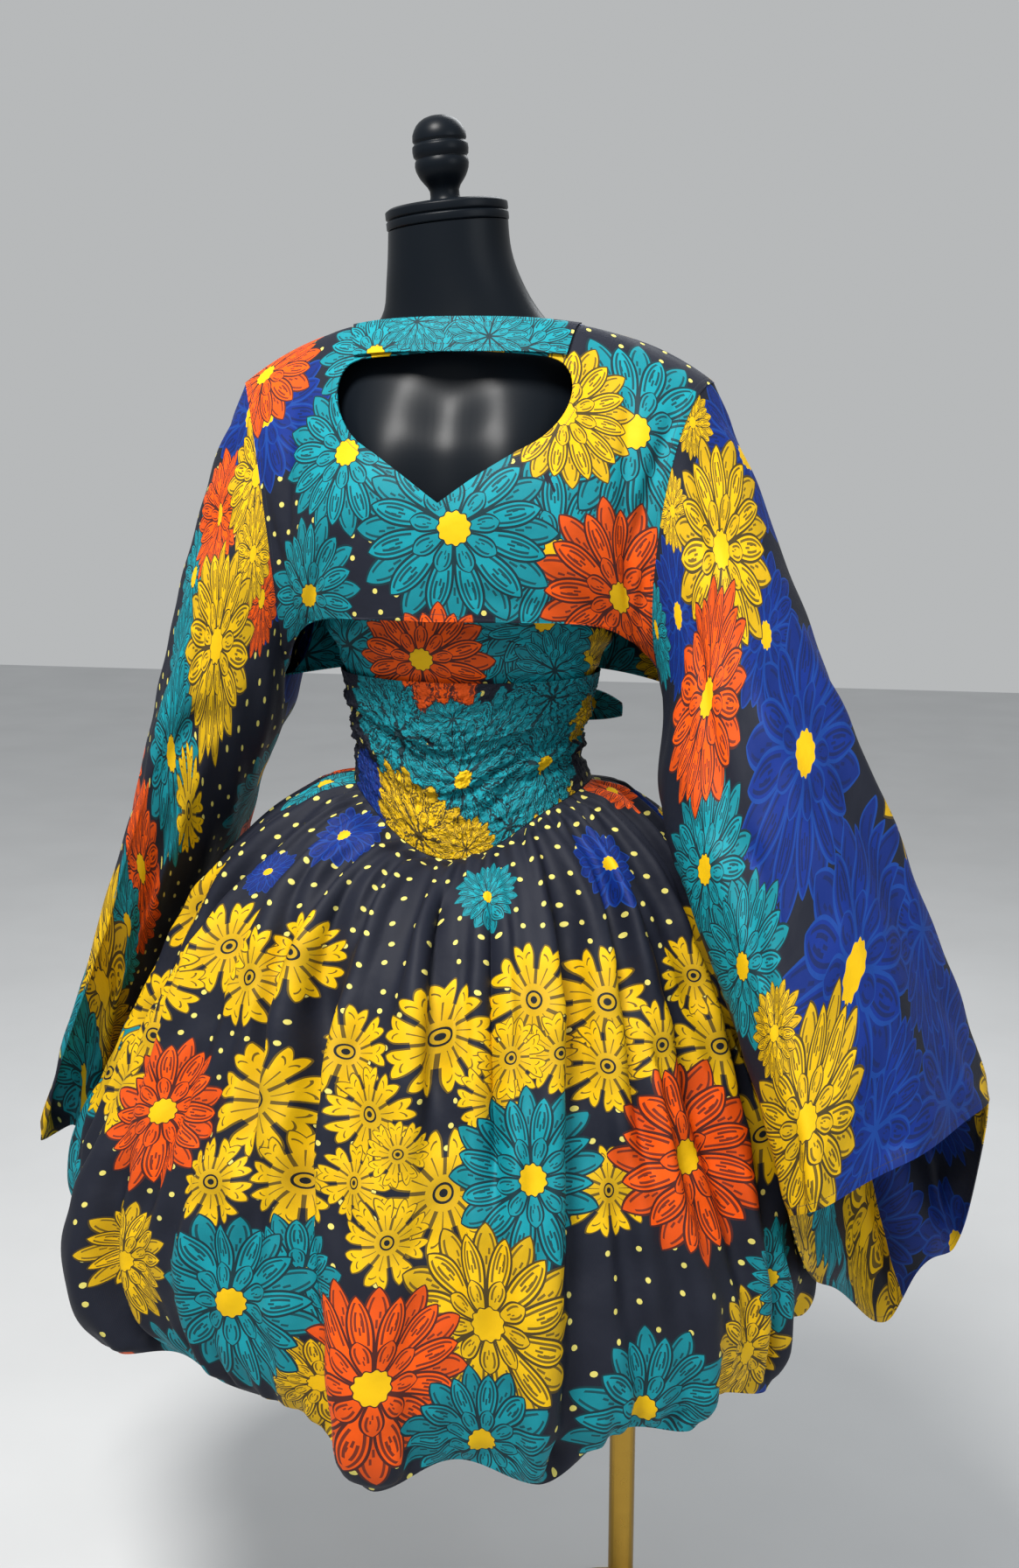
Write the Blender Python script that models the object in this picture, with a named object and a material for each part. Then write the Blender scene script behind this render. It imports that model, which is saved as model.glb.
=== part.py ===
"""Mini dress in wax-print cotton, shown on a dress form that stands on a brass pole.

Metres, +Z up, the front of the dress faces -Y. The origin is the centre of the round base, on the floor.
Every cloth piece is a wall of real thickness between an outer surface and the same surface moved in.
"""

import math
from collections import namedtuple

import bmesh
import bpy
from mathutils import Vector

# Driving dimensions of the stand
POLE_RADIUS = 0.014
BASE_RADIUS = 0.175
BASE_THICK = 0.012
BASE_EDGE = 0.002
FOOT_RADIUS = 0.030
SOCKET_RADIUS = 0.022
SOCKET_HEIGHT = 0.040
FORM_OFFSET = -0.160
FORM_BOTTOM = 0.760
FORM_TOP = 1.570
FORM_STEP = 0.027
FORM_SIDES = 36

# Driving dimensions of the garment
CLOTH = 0.0020
SEAM_GAP = 0.0003
SIDE_GAP = 0.0004
SHOULDER_POINT = Vector((0.232, 0.0, 1.425))
UNDERARM_POINT = Vector((0.200, 0.0, 1.132))
ARMHOLE_DEPTH = 0.080
ARMHOLE_SCOOP = 0.028
NECK_SIDE = 0.4735
FRONT_HEM = 1.210
BACK_HEM = 1.134
NECK_HEIGHT = 1.481
BACK_NECK_RISE = 0.006
HEM_FALL = 6.0
SHOULDER_FALL = 3.2
BACK_HEM_FALL = 5.0
BACK_SHOULDER_FALL = 2.6
SEAM_TURN_FROM = 0.80
ARMHOLE_TURN_FROM = 0.86
BACK_SEAM_FROM = 0.70
BACK_NECK_ROUND = 2.4
BACK_NECK_REACH = 0.6
BAND_LOW = 0.787
BAND_THICK = 0.0015
BAND_GAP = 0.0018
SASH_TOP = 1.146
SASH_TOP_CLEAR = 0.0080
SASH_FOLD = 0.0022
SASH_FOLDS = 3.6
SASH_SLANT = 0.9
SASH_HUG_FROM = 0.375
SASH_GAP = 0.0005
SASH_LEVEL = 0.12
MIDRIFF_LOW = 1.120
MIDRIFF_TOP = 1.228
MIDRIFF_DRAPE = 0.0012
DRAPE_SLANT = 5.0
FORM_GAP = 0.0007
WAIST_SEAM = 1.012
SIDE_RISE = 0.024
SEAM_SPAN = 0.07
HEM_RISE = 0.030
WAIST_CLEAR = 0.0125
BASQUE_DROP = 0.038
BASQUE_ANGLE = 263.0
BASQUE_SPREAD = 30.0
GATHERS = 28

# Where a wall's direction is measured, and the angle above which an edge stays sharp
V_STEP = 0.004
U_SHARE = 0.1
SHARP_DEGREES = 50

FormRow = namedtuple("FormRow", "height half_width front back shift")
FORM_ROWS = (
    FormRow(0.760, 0.160, 0.098, 0.108, 0.030),
    FormRow(0.815, 0.170, 0.106, 0.120, 0.028),
    FormRow(0.870, 0.171, 0.108, 0.122, 0.024),
    FormRow(0.930, 0.160, 0.102, 0.110, 0.016),
    FormRow(0.990, 0.132, 0.094, 0.092, 0.006),
    FormRow(1.055, 0.104, 0.086, 0.077, -0.006),
    FormRow(1.120, 0.116, 0.092, 0.083, -0.006),
    FormRow(1.190, 0.137, 0.103, 0.095, -0.005),
    FormRow(1.260, 0.150, 0.111, 0.104, -0.008),
    FormRow(1.330, 0.158, 0.110, 0.107, -0.011),
    FormRow(1.390, 0.164, 0.092, 0.100, -0.014),
    FormRow(1.427, 0.158, 0.075, 0.086, -0.016),
    FormRow(1.4525, 0.1205, 0.064, 0.073, -0.013),
    FormRow(1.4745, 0.0825, 0.059, 0.064, -0.0080),
    FormRow(1.505, 0.070, 0.055, 0.056, -0.0175),
    FormRow(1.538, 0.060, 0.053, 0.053, -0.024),
    FormRow(1.570, 0.058, 0.052, 0.052, -0.025),
)
BUST_HEIGHT = 1.292
BUST_HALF_SPAN = 0.072
BUST_RISE = 0.030
BUST_WIDE = 0.046
BUST_TALL = 0.066
NECK_TILT = 0.10
NECK_START = 1.45
PLATE_STRETCH = 0.9

TopRow = namedtuple("TopRow", "depth spread power")
FRONT_ROWS = (
    TopRow(-0.146, 1.60, 1.0),
    TopRow(-0.149, 1.60, 1.0),
    TopRow(-0.146, 1.55, 1.1),
    TopRow(-0.124, 1.35, 1.3),
    TopRow(-0.099, 1.15, 1.9),
    TopRow(-0.079, 1.00, 2.4),
)
BACK_ROWS = (
    TopRow(0.118, 1.60, 1.0),
    TopRow(0.122, 1.60, 1.0),
    TopRow(0.124, 1.55, 1.0),
    TopRow(0.120, 1.50, 1.0),
    TopRow(0.104, 1.40, 1.1),
    TopRow(0.080, 1.30, 1.2),
)

KeyPoint = namedtuple("KeyPoint", "x z")
KEYHOLE = (
    KeyPoint(-0.006, 1.318),
    KeyPoint(0.026, 1.341),
    KeyPoint(0.058, 1.361),
    KeyPoint(0.084, 1.376),
    KeyPoint(0.101, 1.395),
    KeyPoint(0.108, 1.416),
    KeyPoint(0.104, 1.435),
    KeyPoint(0.088, 1.447),
    KeyPoint(0.045, 1.452),
    KeyPoint(-0.004, 1.453),
    KeyPoint(-0.054, 1.450),
    KeyPoint(-0.098, 1.445),
    KeyPoint(-0.112, 1.433),
    KeyPoint(-0.115, 1.415),
    KeyPoint(-0.108, 1.394),
    KeyPoint(-0.092, 1.375),
    KeyPoint(-0.068, 1.360),
    KeyPoint(-0.036, 1.339),
    KeyPoint(-0.006, 1.318),
)

SleeveRow = namedtuple("SleeveRow", "outer inner front back")
RIGHT_SLEEVE = (
    SleeveRow((0.232, 0.000, 1.425), (0.200, 0.000, 1.132), (-0.028, -0.080, 0.0), (-0.028, 0.080, 0.0)),
    SleeveRow((0.266, -0.002, 1.350), (0.201, -0.008, 1.090), (-0.018, -0.086, 0.0), (-0.008, 0.092, -0.010)),
    SleeveRow((0.302, -0.008, 1.262), (0.194, -0.040, 1.040), (-0.008, -0.092, 0.004), (0.000, 0.112, -0.028)),
    SleeveRow((0.341, -0.014, 1.168), (0.212, -0.092, 0.985), (0.000, -0.096, 0.010), (0.006, 0.138, -0.056)),
    SleeveRow((0.384, -0.020, 1.070), (0.242, -0.140, 0.922), (0.004, -0.098, 0.016), (0.012, 0.168, -0.096)),
    SleeveRow((0.428, -0.026, 0.968), (0.274, -0.178, 0.852), (0.006, -0.098, 0.022), (0.018, 0.200, -0.148)),
    SleeveRow((0.474, -0.034, 0.858), (0.304, -0.210, 0.776), (0.004, -0.096, 0.026), (0.026, 0.234, -0.212)),
    SleeveRow((0.521, -0.042, 0.740), (0.332, -0.236, 0.694), (0.000, -0.092, 0.028), (0.034, 0.268, -0.290)),
)
LEFT_SLEEVE = (
    SleeveRow((-0.232, 0.000, 1.425), (-0.200, 0.000, 1.132), (0.028, -0.080, 0.0), (0.028, 0.080, 0.0)),
    SleeveRow((-0.266, 0.004, 1.345), (-0.204, 0.002, 1.090), (0.014, -0.088, 0.0), (0.010, 0.090, -0.005)),
    SleeveRow((-0.296, 0.010, 1.248), (-0.228, 0.010, 1.045), (0.002, -0.098, 0.0), (0.004, 0.102, -0.015)),
    SleeveRow((-0.324, 0.020, 1.130), (-0.260, 0.026, 0.990), (-0.004, -0.110, 0.0), (0.004, 0.116, -0.025)),
    SleeveRow((-0.358, 0.034, 1.005), (-0.296, 0.044, 0.920), (-0.006, -0.122, 0.0), (0.014, 0.130, -0.040)),
    SleeveRow((-0.400, 0.050, 0.878), (-0.338, 0.066, 0.835), (-0.006, -0.130, 0.0), (0.030, 0.142, -0.055)),
    SleeveRow((-0.448, 0.066, 0.752), (-0.390, 0.090, 0.735), (-0.004, -0.134, 0.0), (0.050, 0.152, -0.075)),
    SleeveRow((-0.490, 0.080, 0.625), (-0.436, 0.112, 0.625), (-0.002, -0.136, 0.0), (0.070, 0.158, -0.095)),
)
SLEEVE_SIDES = 24
SLEEVE_LOBES = 3
SLEEVE_WAVE = 0.13
SLEEVE_SEAM = 0.12

SkirtRow = namedtuple("SkirtRow", "height left right front back fold gather")
SKIRT_ROWS = (
    SkirtRow(1.012, 0.148, 0.142, 0.118, 0.112, 0.000, 0.0012),
    SkirtRow(1.006, 0.165, 0.156, 0.136, 0.130, 0.030, 0.0040),
    SkirtRow(0.978, 0.212, 0.190, 0.172, 0.168, 0.120, 0.0055),
    SkirtRow(0.935, 0.256, 0.222, 0.208, 0.206, 0.240, 0.0060),
    SkirtRow(0.880, 0.290, 0.246, 0.240, 0.240, 0.360, 0.0055),
    SkirtRow(0.815, 0.320, 0.268, 0.268, 0.268, 0.480, 0.0045),
    SkirtRow(0.750, 0.352, 0.290, 0.292, 0.292, 0.600, 0.0030),
    SkirtRow(0.685, 0.382, 0.312, 0.312, 0.312, 0.720, 0.0015),
    SkirtRow(0.620, 0.404, 0.330, 0.326, 0.328, 0.830, 0.0000),
    SkirtRow(0.560, 0.408, 0.342, 0.334, 0.334, 0.920, 0.0000),
    SkirtRow(0.505, 0.386, 0.338, 0.334, 0.326, 0.980, 0.0000),
    SkirtRow(0.470, 0.352, 0.318, 0.324, 0.308, 1.000, 0.0000),
)
Fold = namedtuple("Fold", "angle depth half_angle drop")
FOLDS = (
    Fold(190.0, 0.036, 10.0, 0.004),
    Fold(213.0, 0.044, 8.0, 0.030),
    Fold(238.0, 0.010, 9.0, 0.000),
    Fold(267.0, 0.056, 8.0, 0.030),
    Fold(290.0, 0.044, 11.0, 0.030),
    Fold(314.0, 0.040, 7.0, 0.014),
    Fold(332.0, 0.038, 8.0, 0.024),
    Fold(352.0, 0.020, 9.0, 0.006),
    Fold(17.0, 0.026, 9.0, 0.012),
    Fold(41.0, 0.036, 9.0, 0.022),
    Fold(66.0, 0.040, 8.5, 0.014),
    Fold(91.0, 0.036, 9.0, 0.024),
    Fold(116.0, 0.044, 8.5, 0.016),
    Fold(141.0, 0.034, 9.0, 0.022),
    Fold(166.0, 0.022, 9.0, 0.008),
)


def smooth(values, at):
    """A soft curve through evenly spaced values, read at 0 to 1."""
    last = len(values) - 1
    place = min(max(at, 0.0), 1.0) * last
    i = min(int(place), last - 1)
    f = place - i
    here, after = values[i], values[i + 1]
    before = values[i - 1] if i else here * 2 - after
    beyond = values[i + 2] if i + 2 <= last else after * 2 - here
    slope = (after - before) * f
    bend = (before * 2 - here * 5 + after * 4 - beyond) * f**2
    twist = (here * 3 - before - after * 3 + beyond) * f**3
    return (here * 2 + slope + bend + twist) * 0.5


def column(rows, name):
    return [getattr(row, name) for row in rows]


def ease(x):
    """0 below 0, 1 above 1, soft between."""
    x = min(max(x, 0.0), 1.0)
    return x * x * (3 - 2 * x)


def turn_from(angle, centre):
    """Degrees from centre to angle, the short way round."""
    return (angle - centre + 180.0) % 360.0 - 180.0


def material(name, colour, roughness, metallic=0.0):
    made = bpy.data.materials.new(name)
    made.use_nodes = True
    shader = made.node_tree.nodes["Principled BSDF"]
    shader.inputs["Base Color"].default_value = (*colour, 1.0)
    shader.inputs["Roughness"].default_value = roughness
    shader.inputs["Metallic"].default_value = metallic
    return made


def add_object(name, mesh, finish, parent=None):
    made = bpy.data.objects.new(name, mesh)
    bpy.context.scene.collection.objects.link(made)
    made.data.materials.append(finish)
    made.parent = parent
    return made


def mesh_of(name, points, faces):
    """A mesh with its faces turned outwards and its round sides shaded smooth."""
    mesh = bpy.data.meshes.new(name)
    mesh.from_pydata([tuple(p) for p in points], [], faces)
    shaped = bmesh.new()
    shaped.from_mesh(mesh)
    bmesh.ops.recalc_face_normals(shaped, faces=shaped.faces)
    if shaped.calc_volume(signed=True) < 0:
        bmesh.ops.reverse_faces(shaped, faces=shaped.faces)
    shaped.to_mesh(mesh)
    shaped.free()
    mesh.shade_smooth()
    mesh.set_sharp_from_angle(angle=math.radians(SHARP_DEGREES))
    return mesh


def outward(surface, u, v, across):
    """The unit normal of a surface, on the side that u then v turn round; across is a short step of u."""
    along_u = surface(u + across, v) - surface(u - across, v)
    along_v = surface(u, min(v + V_STEP, 1.0)) - surface(u, max(v - V_STEP, 0.0))
    return along_u.cross(along_v).normalized()


def cloth_wall(name, surface, us, vs, closed=False, thick=CLOTH, normal=None, side=1.0):
    """A cloth piece: its outer points, the same points moved in, and strips round the open edges."""
    outer, inner = [], []
    across = (us[1] - us[0]) * U_SHARE
    for v in vs:
        for u in us:
            point = surface(u, v)
            out = outward(surface, u, v, across) * side
            if normal:
                out = normal(u, v, out)
            outer.append(point)
            inner.append(point - out * thick)
    wide, rows, count = len(us), len(vs), len(outer)
    faces = []
    for r in range(rows - 1):
        for c in range(wide if closed else wide - 1):
            a, b = r * wide + c, r * wide + (c + 1) % wide
            quad = (a, b, b + wide, a + wide)
            faces.append(quad)
            faces.append(tuple(i + count for i in reversed(quad)))
    for r, flip in ((0, False), (rows - 1, True)):
        for c in range(wide if closed else wide - 1):
            a, b = r * wide + c, r * wide + (c + 1) % wide
            strip = (b, a, a + count, b + count)
            faces.append(tuple(reversed(strip)) if flip else strip)
    if not closed:
        for c, flip in ((0, False), (wide - 1, True)):
            for r in range(rows - 1):
                a, b = r * wide + c, (r + 1) * wide + c
                strip = (a, b, b + count, a + count)
                faces.append(tuple(reversed(strip)) if flip else strip)
    return mesh_of(name, outer + inner, faces)


def evenly(low, high, count):
    return [low + (high - low) * i / (count - 1) for i in range(count)]


def lathe(name, profile, sides, stretch=1.0):
    """A turned piece about Z from (radius, height) pairs, with flat ends; stretch narrows it front to back."""
    points, faces = [], []
    for radius, height in profile:
        for i in range(sides):
            angle = 2 * math.pi * i / sides
            points.append((radius * math.cos(angle), radius * stretch * math.sin(angle), height))
    for r in range(len(profile) - 1):
        for i in range(sides):
            a, b = r * sides + i, r * sides + (i + 1) % sides
            faces.append((a, b, b + sides, a + sides))
    faces.append(tuple(reversed(range(sides))))
    faces.append(tuple(range((len(profile) - 1) * sides, len(profile) * sides)))
    return mesh_of(name, points, faces)


# The form's surface

def form_point(turn, at, clear=0.0):
    """A point on the form, turn in degrees from +X, at from the bottom to the neck, moved out by clear."""
    row = {name: smooth(column(FORM_ROWS, name), at) for name in FormRow._fields}
    angle = math.radians(turn)
    depth = row["front"] if math.sin(angle) < 0 else row["back"]
    across = (row["half_width"] + clear) * math.cos(angle)
    y = (depth + clear) * math.sin(angle)
    if y < 0:
        for apex in (-BUST_HALF_SPAN, BUST_HALF_SPAN):
            near = ((across - apex) / BUST_WIDE) ** 2 + ((row["height"] - BUST_HEIGHT) / BUST_TALL) ** 2
            y -= BUST_RISE * math.exp(-near)
    tilt = NECK_TILT * ease((row["height"] - NECK_START) / (FORM_TOP - NECK_START))
    return Vector((across + row["shift"], y, row["height"] + tilt * across))


def form_at(height):
    """Where along the form's rows a height lies, 0 to 1."""
    low, high = 0.0, 1.0
    heights = column(FORM_ROWS, "height")
    for _ in range(30):
        middle = (low + high) / 2
        if smooth(heights, middle) < height:
            low = middle
        else:
            high = middle
    return low


def add_form(finish, parent):
    sides = FORM_SIDES
    rows = round((FORM_TOP - FORM_BOTTOM) / FORM_STEP) + 1
    levels = [form_at(FORM_BOTTOM + FORM_STEP * r) for r in range(rows)]
    points = [form_point(360 * i / sides, level) for level in levels for i in range(sides)]
    faces = [tuple(reversed(range(sides)))]
    for r in range(rows - 1):
        for i in range(sides):
            a, b = r * sides + i, r * sides + (i + 1) % sides
            faces.append((a, b, b + sides, a + sides))
    faces.append(tuple(range((rows - 1) * sides, rows * sides)))
    return add_object("dress_form", mesh_of("dress_form", points, faces), finish, parent)


def add_neck_cap(finish, parent):
    """The turned plate that closes the neck and the finial on it, both tilted with the neck."""
    plate = (
        (0.0560, 0.0000), (0.0590, 0.0015), (0.0590, 0.0080), (0.0565, 0.0095),
        (0.0590, 0.0110), (0.0590, 0.0175), (0.0550, 0.0200),
    )
    knob = (
        (0.0200, 0.0203), (0.0150, 0.0240), (0.0140, 0.0330), (0.0190, 0.0410), (0.0235, 0.0480),
        (0.0260, 0.0560), (0.0240, 0.0625), (0.0262, 0.0650), (0.0265, 0.0740), (0.0240, 0.0765),
        (0.0258, 0.0790), (0.0235, 0.0890), (0.0180, 0.0960), (0.0080, 0.1010),
    )
    seat = Vector((smooth(column(FORM_ROWS, "shift"), 1.0), 0.0, FORM_TOP + SEAM_GAP))
    turned = (("neck_plate", plate, 28, PLATE_STRETCH), ("neck_finial", knob, 16, 1.0))
    for name, profile, sides, stretch in turned:
        made = add_object(name, lathe(name, profile, sides, stretch), finish, parent)
        made.location = seat
        made.rotation_euler = (0.0, -math.atan(NECK_TILT), 0.0)


def add_stand(brass):
    """Round base, pole and the socket collar under the form, about the origin's axis."""
    edge = BASE_EDGE
    base = ((BASE_RADIUS - edge, 0.0), (BASE_RADIUS, edge), (BASE_RADIUS, BASE_THICK - edge),
            (BASE_RADIUS - 2 * edge, BASE_THICK))
    add_object("stand_base", lathe("stand_base", base, 48), brass)
    foot = BASE_THICK + SEAM_GAP
    top = FORM_BOTTOM - SEAM_GAP
    pole = ((FOOT_RADIUS, foot), (FOOT_RADIUS, foot + 0.010), (POLE_RADIUS + 0.004, foot + 0.022),
            (POLE_RADIUS, foot + 0.024), (POLE_RADIUS, top - SOCKET_HEIGHT),
            (SOCKET_RADIUS, top - SOCKET_HEIGHT + 0.002), (SOCKET_RADIUS, top))
    add_object("stand_pole", lathe("stand_pole", pole, 24), brass)


# The cropped top

def armhole(t, front):
    """The armhole's edge from the underarm, t 0, to the shoulder point, t 1, on the right-hand side."""
    angle = math.pi * (1 - t)
    middle = (SHOULDER_POINT + UNDERARM_POINT) / 2
    reach = (SHOULDER_POINT - UNDERARM_POINT) / 2
    point = middle + reach * math.cos(angle)
    point.x -= ARMHOLE_SCOOP * math.sin(angle)
    point.y = (-ARMHOLE_DEPTH if front else ARMHOLE_DEPTH) * math.sin(angle)
    return point


def armhole_out(point):
    """The direction from the armhole's middle to a point of its edge, seen from the side."""
    middle = (SHOULDER_POINT + UNDERARM_POINT) / 2
    return Vector((0.0, point.y, point.z - middle.z)).normalized()


def shoulder_seam(s):
    """Y of the line where the front and the back meet over the shoulder."""
    return FRONT_ROWS[-1].depth * math.cos(math.pi / 2 * abs(s)) ** FRONT_ROWS[-1].power


def shoulder_power(t):
    """How late the front falls from its middle to the armhole: latest at the hem."""
    return HEM_FALL - (HEM_FALL - SHOULDER_FALL) * t


def top_front(s, t):
    """The top's front, s from -1 at the left armhole to 1 at the right, t from hem to neck."""
    edge = armhole(t, True)
    rise = 0.5 - 0.5 * math.cos(math.pi * t)
    centre = FRONT_HEM + (NECK_HEIGHT - FRONT_HEM) * rise
    across = min(abs(s), 1.0)
    spread = smooth(column(FRONT_ROWS, "spread"), rise)
    power = smooth(column(FRONT_ROWS, "power"), rise)
    share = max(math.cos(math.pi / 2 * across**spread), 0.0) ** power
    depth = smooth(column(FRONT_ROWS, "depth"), rise)
    z = centre + (edge.z - centre) * across ** shoulder_power(t)
    return Vector((edge.x * s, edge.y + (depth - edge.y) * share - SIDE_GAP, z))


def top_back(s, t):
    """The top's back, s from 1 at the right armhole to -1 at the left, t from hem to neck."""
    edge = armhole(t, False)
    rise = 0.5 - 0.5 * math.cos(math.pi * t)
    centre = BACK_HEM + (NECK_HEIGHT + BACK_NECK_RISE - BACK_HEM) * rise
    across = min(abs(s), 1.0)
    spread = smooth(column(BACK_ROWS, "spread"), rise)
    power = smooth(column(BACK_ROWS, "power"), rise)
    share = max(math.cos(math.pi / 2 * across**spread), 0.0) ** power
    depth = smooth(column(BACK_ROWS, "depth"), rise)
    y = edge.y + (depth - edge.y) * share
    z = centre + (edge.z - centre) * across ** (BACK_HEM_FALL - (BACK_HEM_FALL - BACK_SHOULDER_FALL) * t)
    seam_z = NECK_HEIGHT + (edge.z - NECK_HEIGHT) * across ** shoulder_power(t)
    seam_y = shoulder_seam(across)
    if across < NECK_SIDE:
        inside = 1 - (across / NECK_SIDE) ** BACK_NECK_ROUND
        side_y = shoulder_seam(NECK_SIDE)
        seam_y = side_y + (BACK_ROWS[-1].depth - side_y) * inside**BACK_NECK_REACH
        seam_z += BACK_NECK_RISE * inside
    near_seam = ease((t - BACK_SEAM_FROM) / (1 - BACK_SEAM_FROM))
    y += (seam_y - y) * near_seam
    z += (seam_z - z) * near_seam
    return Vector((edge.x * s, y + SIDE_GAP, z))


def seam_normal(panel, s, t, out):
    """Turns the wall's direction to one that both sides of a shoulder seam or of an armhole share."""
    share = ease((t - SEAM_TURN_FROM) / (1 - SEAM_TURN_FROM))
    turned = (out * (1 - share) + Vector((0, 0, 1)) * share).normalized()
    share = ease((abs(s) - ARMHOLE_TURN_FROM) / (1 - ARMHOLE_TURN_FROM))
    return (turned * (1 - share) + armhole_out(panel(s, t)) * share).normalized()


def front_normal(s, t, out):
    return seam_normal(top_front, s, t, out)


def back_normal(s, t, out):
    return seam_normal(top_back, s, t, out)


def front_place(x, z):
    """Where on the top's front a point of the keyhole lies, as s and t."""
    low, high = 0.2, 1.0
    for _ in range(24):
        t = (low + high) / 2
        s = x / armhole(t, True).x
        if top_front(s, t).z < z:
            low = t
        else:
            high = t
    return s, t


def front_edge():
    """The front's outer edge as (s, t), from the hem's centre by the right armhole, neck and left armhole."""
    hem, arm, neck = 8, SLEEVE_SIDES // 2, 20
    edge = [(i / hem, 0.0) for i in range(hem)]
    edge += [(1.0, i / arm) for i in range(arm)]
    edge += [(1.0 - 2 * i / neck, 1.0) for i in range(neck)]
    edge += [(-1.0, 1.0 - i / arm) for i in range(arm)]
    edge += [(-1.0 + i / hem, 0.0) for i in range(hem + 1)]
    return edge


def front_ring():
    """The front round its keyhole, u once round from the hem's centre, v from the keyhole to the edge."""
    hole = [front_place(p.x, p.z) for p in KEYHOLE]
    hole_s, hole_t = [h[0] for h in hole], [h[1] for h in hole]
    edge = front_edge()

    def place(u, v):
        u = u % 1.0
        at = u * (len(edge) - 1)
        i = min(int(at), len(edge) - 2)
        f = at - i
        edge_s = edge[i][0] * (1 - f) + edge[i + 1][0] * f
        edge_t = edge[i][1] * (1 - f) + edge[i + 1][1] * f
        return smooth(hole_s, u) * (1 - v) + edge_s * v, smooth(hole_t, u) * (1 - v) + edge_t * v

    def surface(u, v):
        return top_front(*place(u, v))

    def normal(u, v, out):
        return front_normal(*place(u, v), out)

    return surface, normal, len(edge) - 1


def add_top(cloth, parent):
    surface, normal, columns = front_ring()
    around = [i / columns for i in range(columns)]
    front = cloth_wall("top_front", surface, around, evenly(0, 1, 7), closed=True, normal=normal,
                       side=-1.0)
    add_object("top_front", front, cloth, parent)
    rows = evenly(0, 1, SLEEVE_SIDES // 2 + 1)
    back = cloth_wall("top_back", top_back, evenly(1, -1, 19), rows, normal=back_normal)
    add_object("top_back", back, cloth, parent)


def neck_band(s, t):
    """The band across the collarbones, lying on the front's top edge."""
    at = BAND_LOW + (1 - BAND_LOW) * t
    base = top_front(s * NECK_SIDE, at)
    out = front_normal(s * NECK_SIDE, at, outward(top_front, s * NECK_SIDE, at, 0.01))
    return base + out * (BAND_THICK + BAND_GAP)


def band_normal(s, t, out):
    return front_normal(s * NECK_SIDE, BAND_LOW + (1 - BAND_LOW) * t, out)


# Midriff, sash and ties

def waist_seam(turn):
    """Height of the skirt's seam under the sash, higher at the sides and lowest at the basque point."""
    off = turn_from(turn, BASQUE_ANGLE)
    side = math.cos(math.radians(turn)) ** 2
    return WAIST_SEAM + SIDE_RISE * side - BASQUE_DROP * math.exp(-((off / BASQUE_SPREAD) ** 2))


def midriff(turn, t):
    """The fitted cloth between the top and the sash, t from its lower edge to its upper."""
    height = MIDRIFF_LOW + (MIDRIFF_TOP - MIDRIFF_LOW) * t
    drape = MIDRIFF_DRAPE * (1 + math.sin(math.radians(turn * 2) + DRAPE_SLANT * t))
    return form_point(turn, form_at(height), CLOTH + FORM_GAP + drape)


def sash(turn, t):
    """The wrapped sash, t from its lower edge to its top, with folds that fan out from the right side."""
    low = waist_seam(turn) + SASH_GAP
    height = low + (SASH_TOP - low) * t
    slant = math.radians(turn_from(turn, 0.0)) * SASH_SLANT
    fold = SASH_FOLD * math.sin(2 * math.pi * SASH_FOLDS * t + slant) * math.sin(math.pi * t)
    clear = WAIST_CLEAR + (SASH_TOP_CLEAR - WAIST_CLEAR) * ease((t - SASH_HUG_FROM) / (1 - SASH_HUG_FROM))
    return form_point(turn, form_at(height), clear + fold)


def sash_normal(turn, t, out):
    """Level at the lower edge, where the sash stands on the skirt's seam."""
    return Vector((out.x, out.y, out.z * ease(t / SASH_LEVEL))).normalized()


def add_waist(cloth, parent):
    rows = evenly(0, 1, round((MIDRIFF_TOP - MIDRIFF_LOW) / FORM_STEP) + 1)
    for name, low, high in (("midriff_front", 180.1, 359.9), ("midriff_back", 0.1, 179.9)):
        panel = cloth_wall(name, midriff, evenly(low, high, FORM_SIDES // 2 + 1), rows)
        add_object(name, panel, cloth, parent)
    turns = [360 * i / 48 for i in range(48)]
    wrap = cloth_wall("waist_sash", sash, turns, evenly(0, 1, 9), closed=True, normal=sash_normal)
    add_object("waist_sash", wrap, cloth, parent)


TIE_ROOT = Vector((0.006, 0.1025, 1.080))
KNOT_SIZE = (0.021, 0.013, 0.026)
TIE_WIDTH = 0.024
TIE_CUP = 0.006
TIE_LEAN = 0.12
TIE_LENGTH = 0.96
RIGHT_TIE_TIP = Vector((0.146, 0.060, 1.096))
LEFT_TIE_TIP = Vector((-0.110, 0.150, 1.040))


def tie_half_width(t):
    """Half the tie's width: narrow at the knot, widest beyond its middle, pointed at its tip."""
    return TIE_WIDTH * (0.34 + 1.1 * t - 1.25 * t**3)


def tie_end(root, tip, drop, lift):
    """A tie's surface: a strip from the knot to its pointed tip, sagging by drop, standing off by lift."""
    def surface(u, t):
        line = root.lerp(tip, t)
        line.z -= drop * 4 * t * (1 - t)
        line.y += lift * math.sin(math.pi * t)
        across = Vector((0.0, TIE_LEAN * u, 1.0)).normalized()
        cup = Vector((0.0, TIE_CUP * (1 - u * u), 0.0))
        return line + across * tie_half_width(t) * u + cup
    return surface


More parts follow.
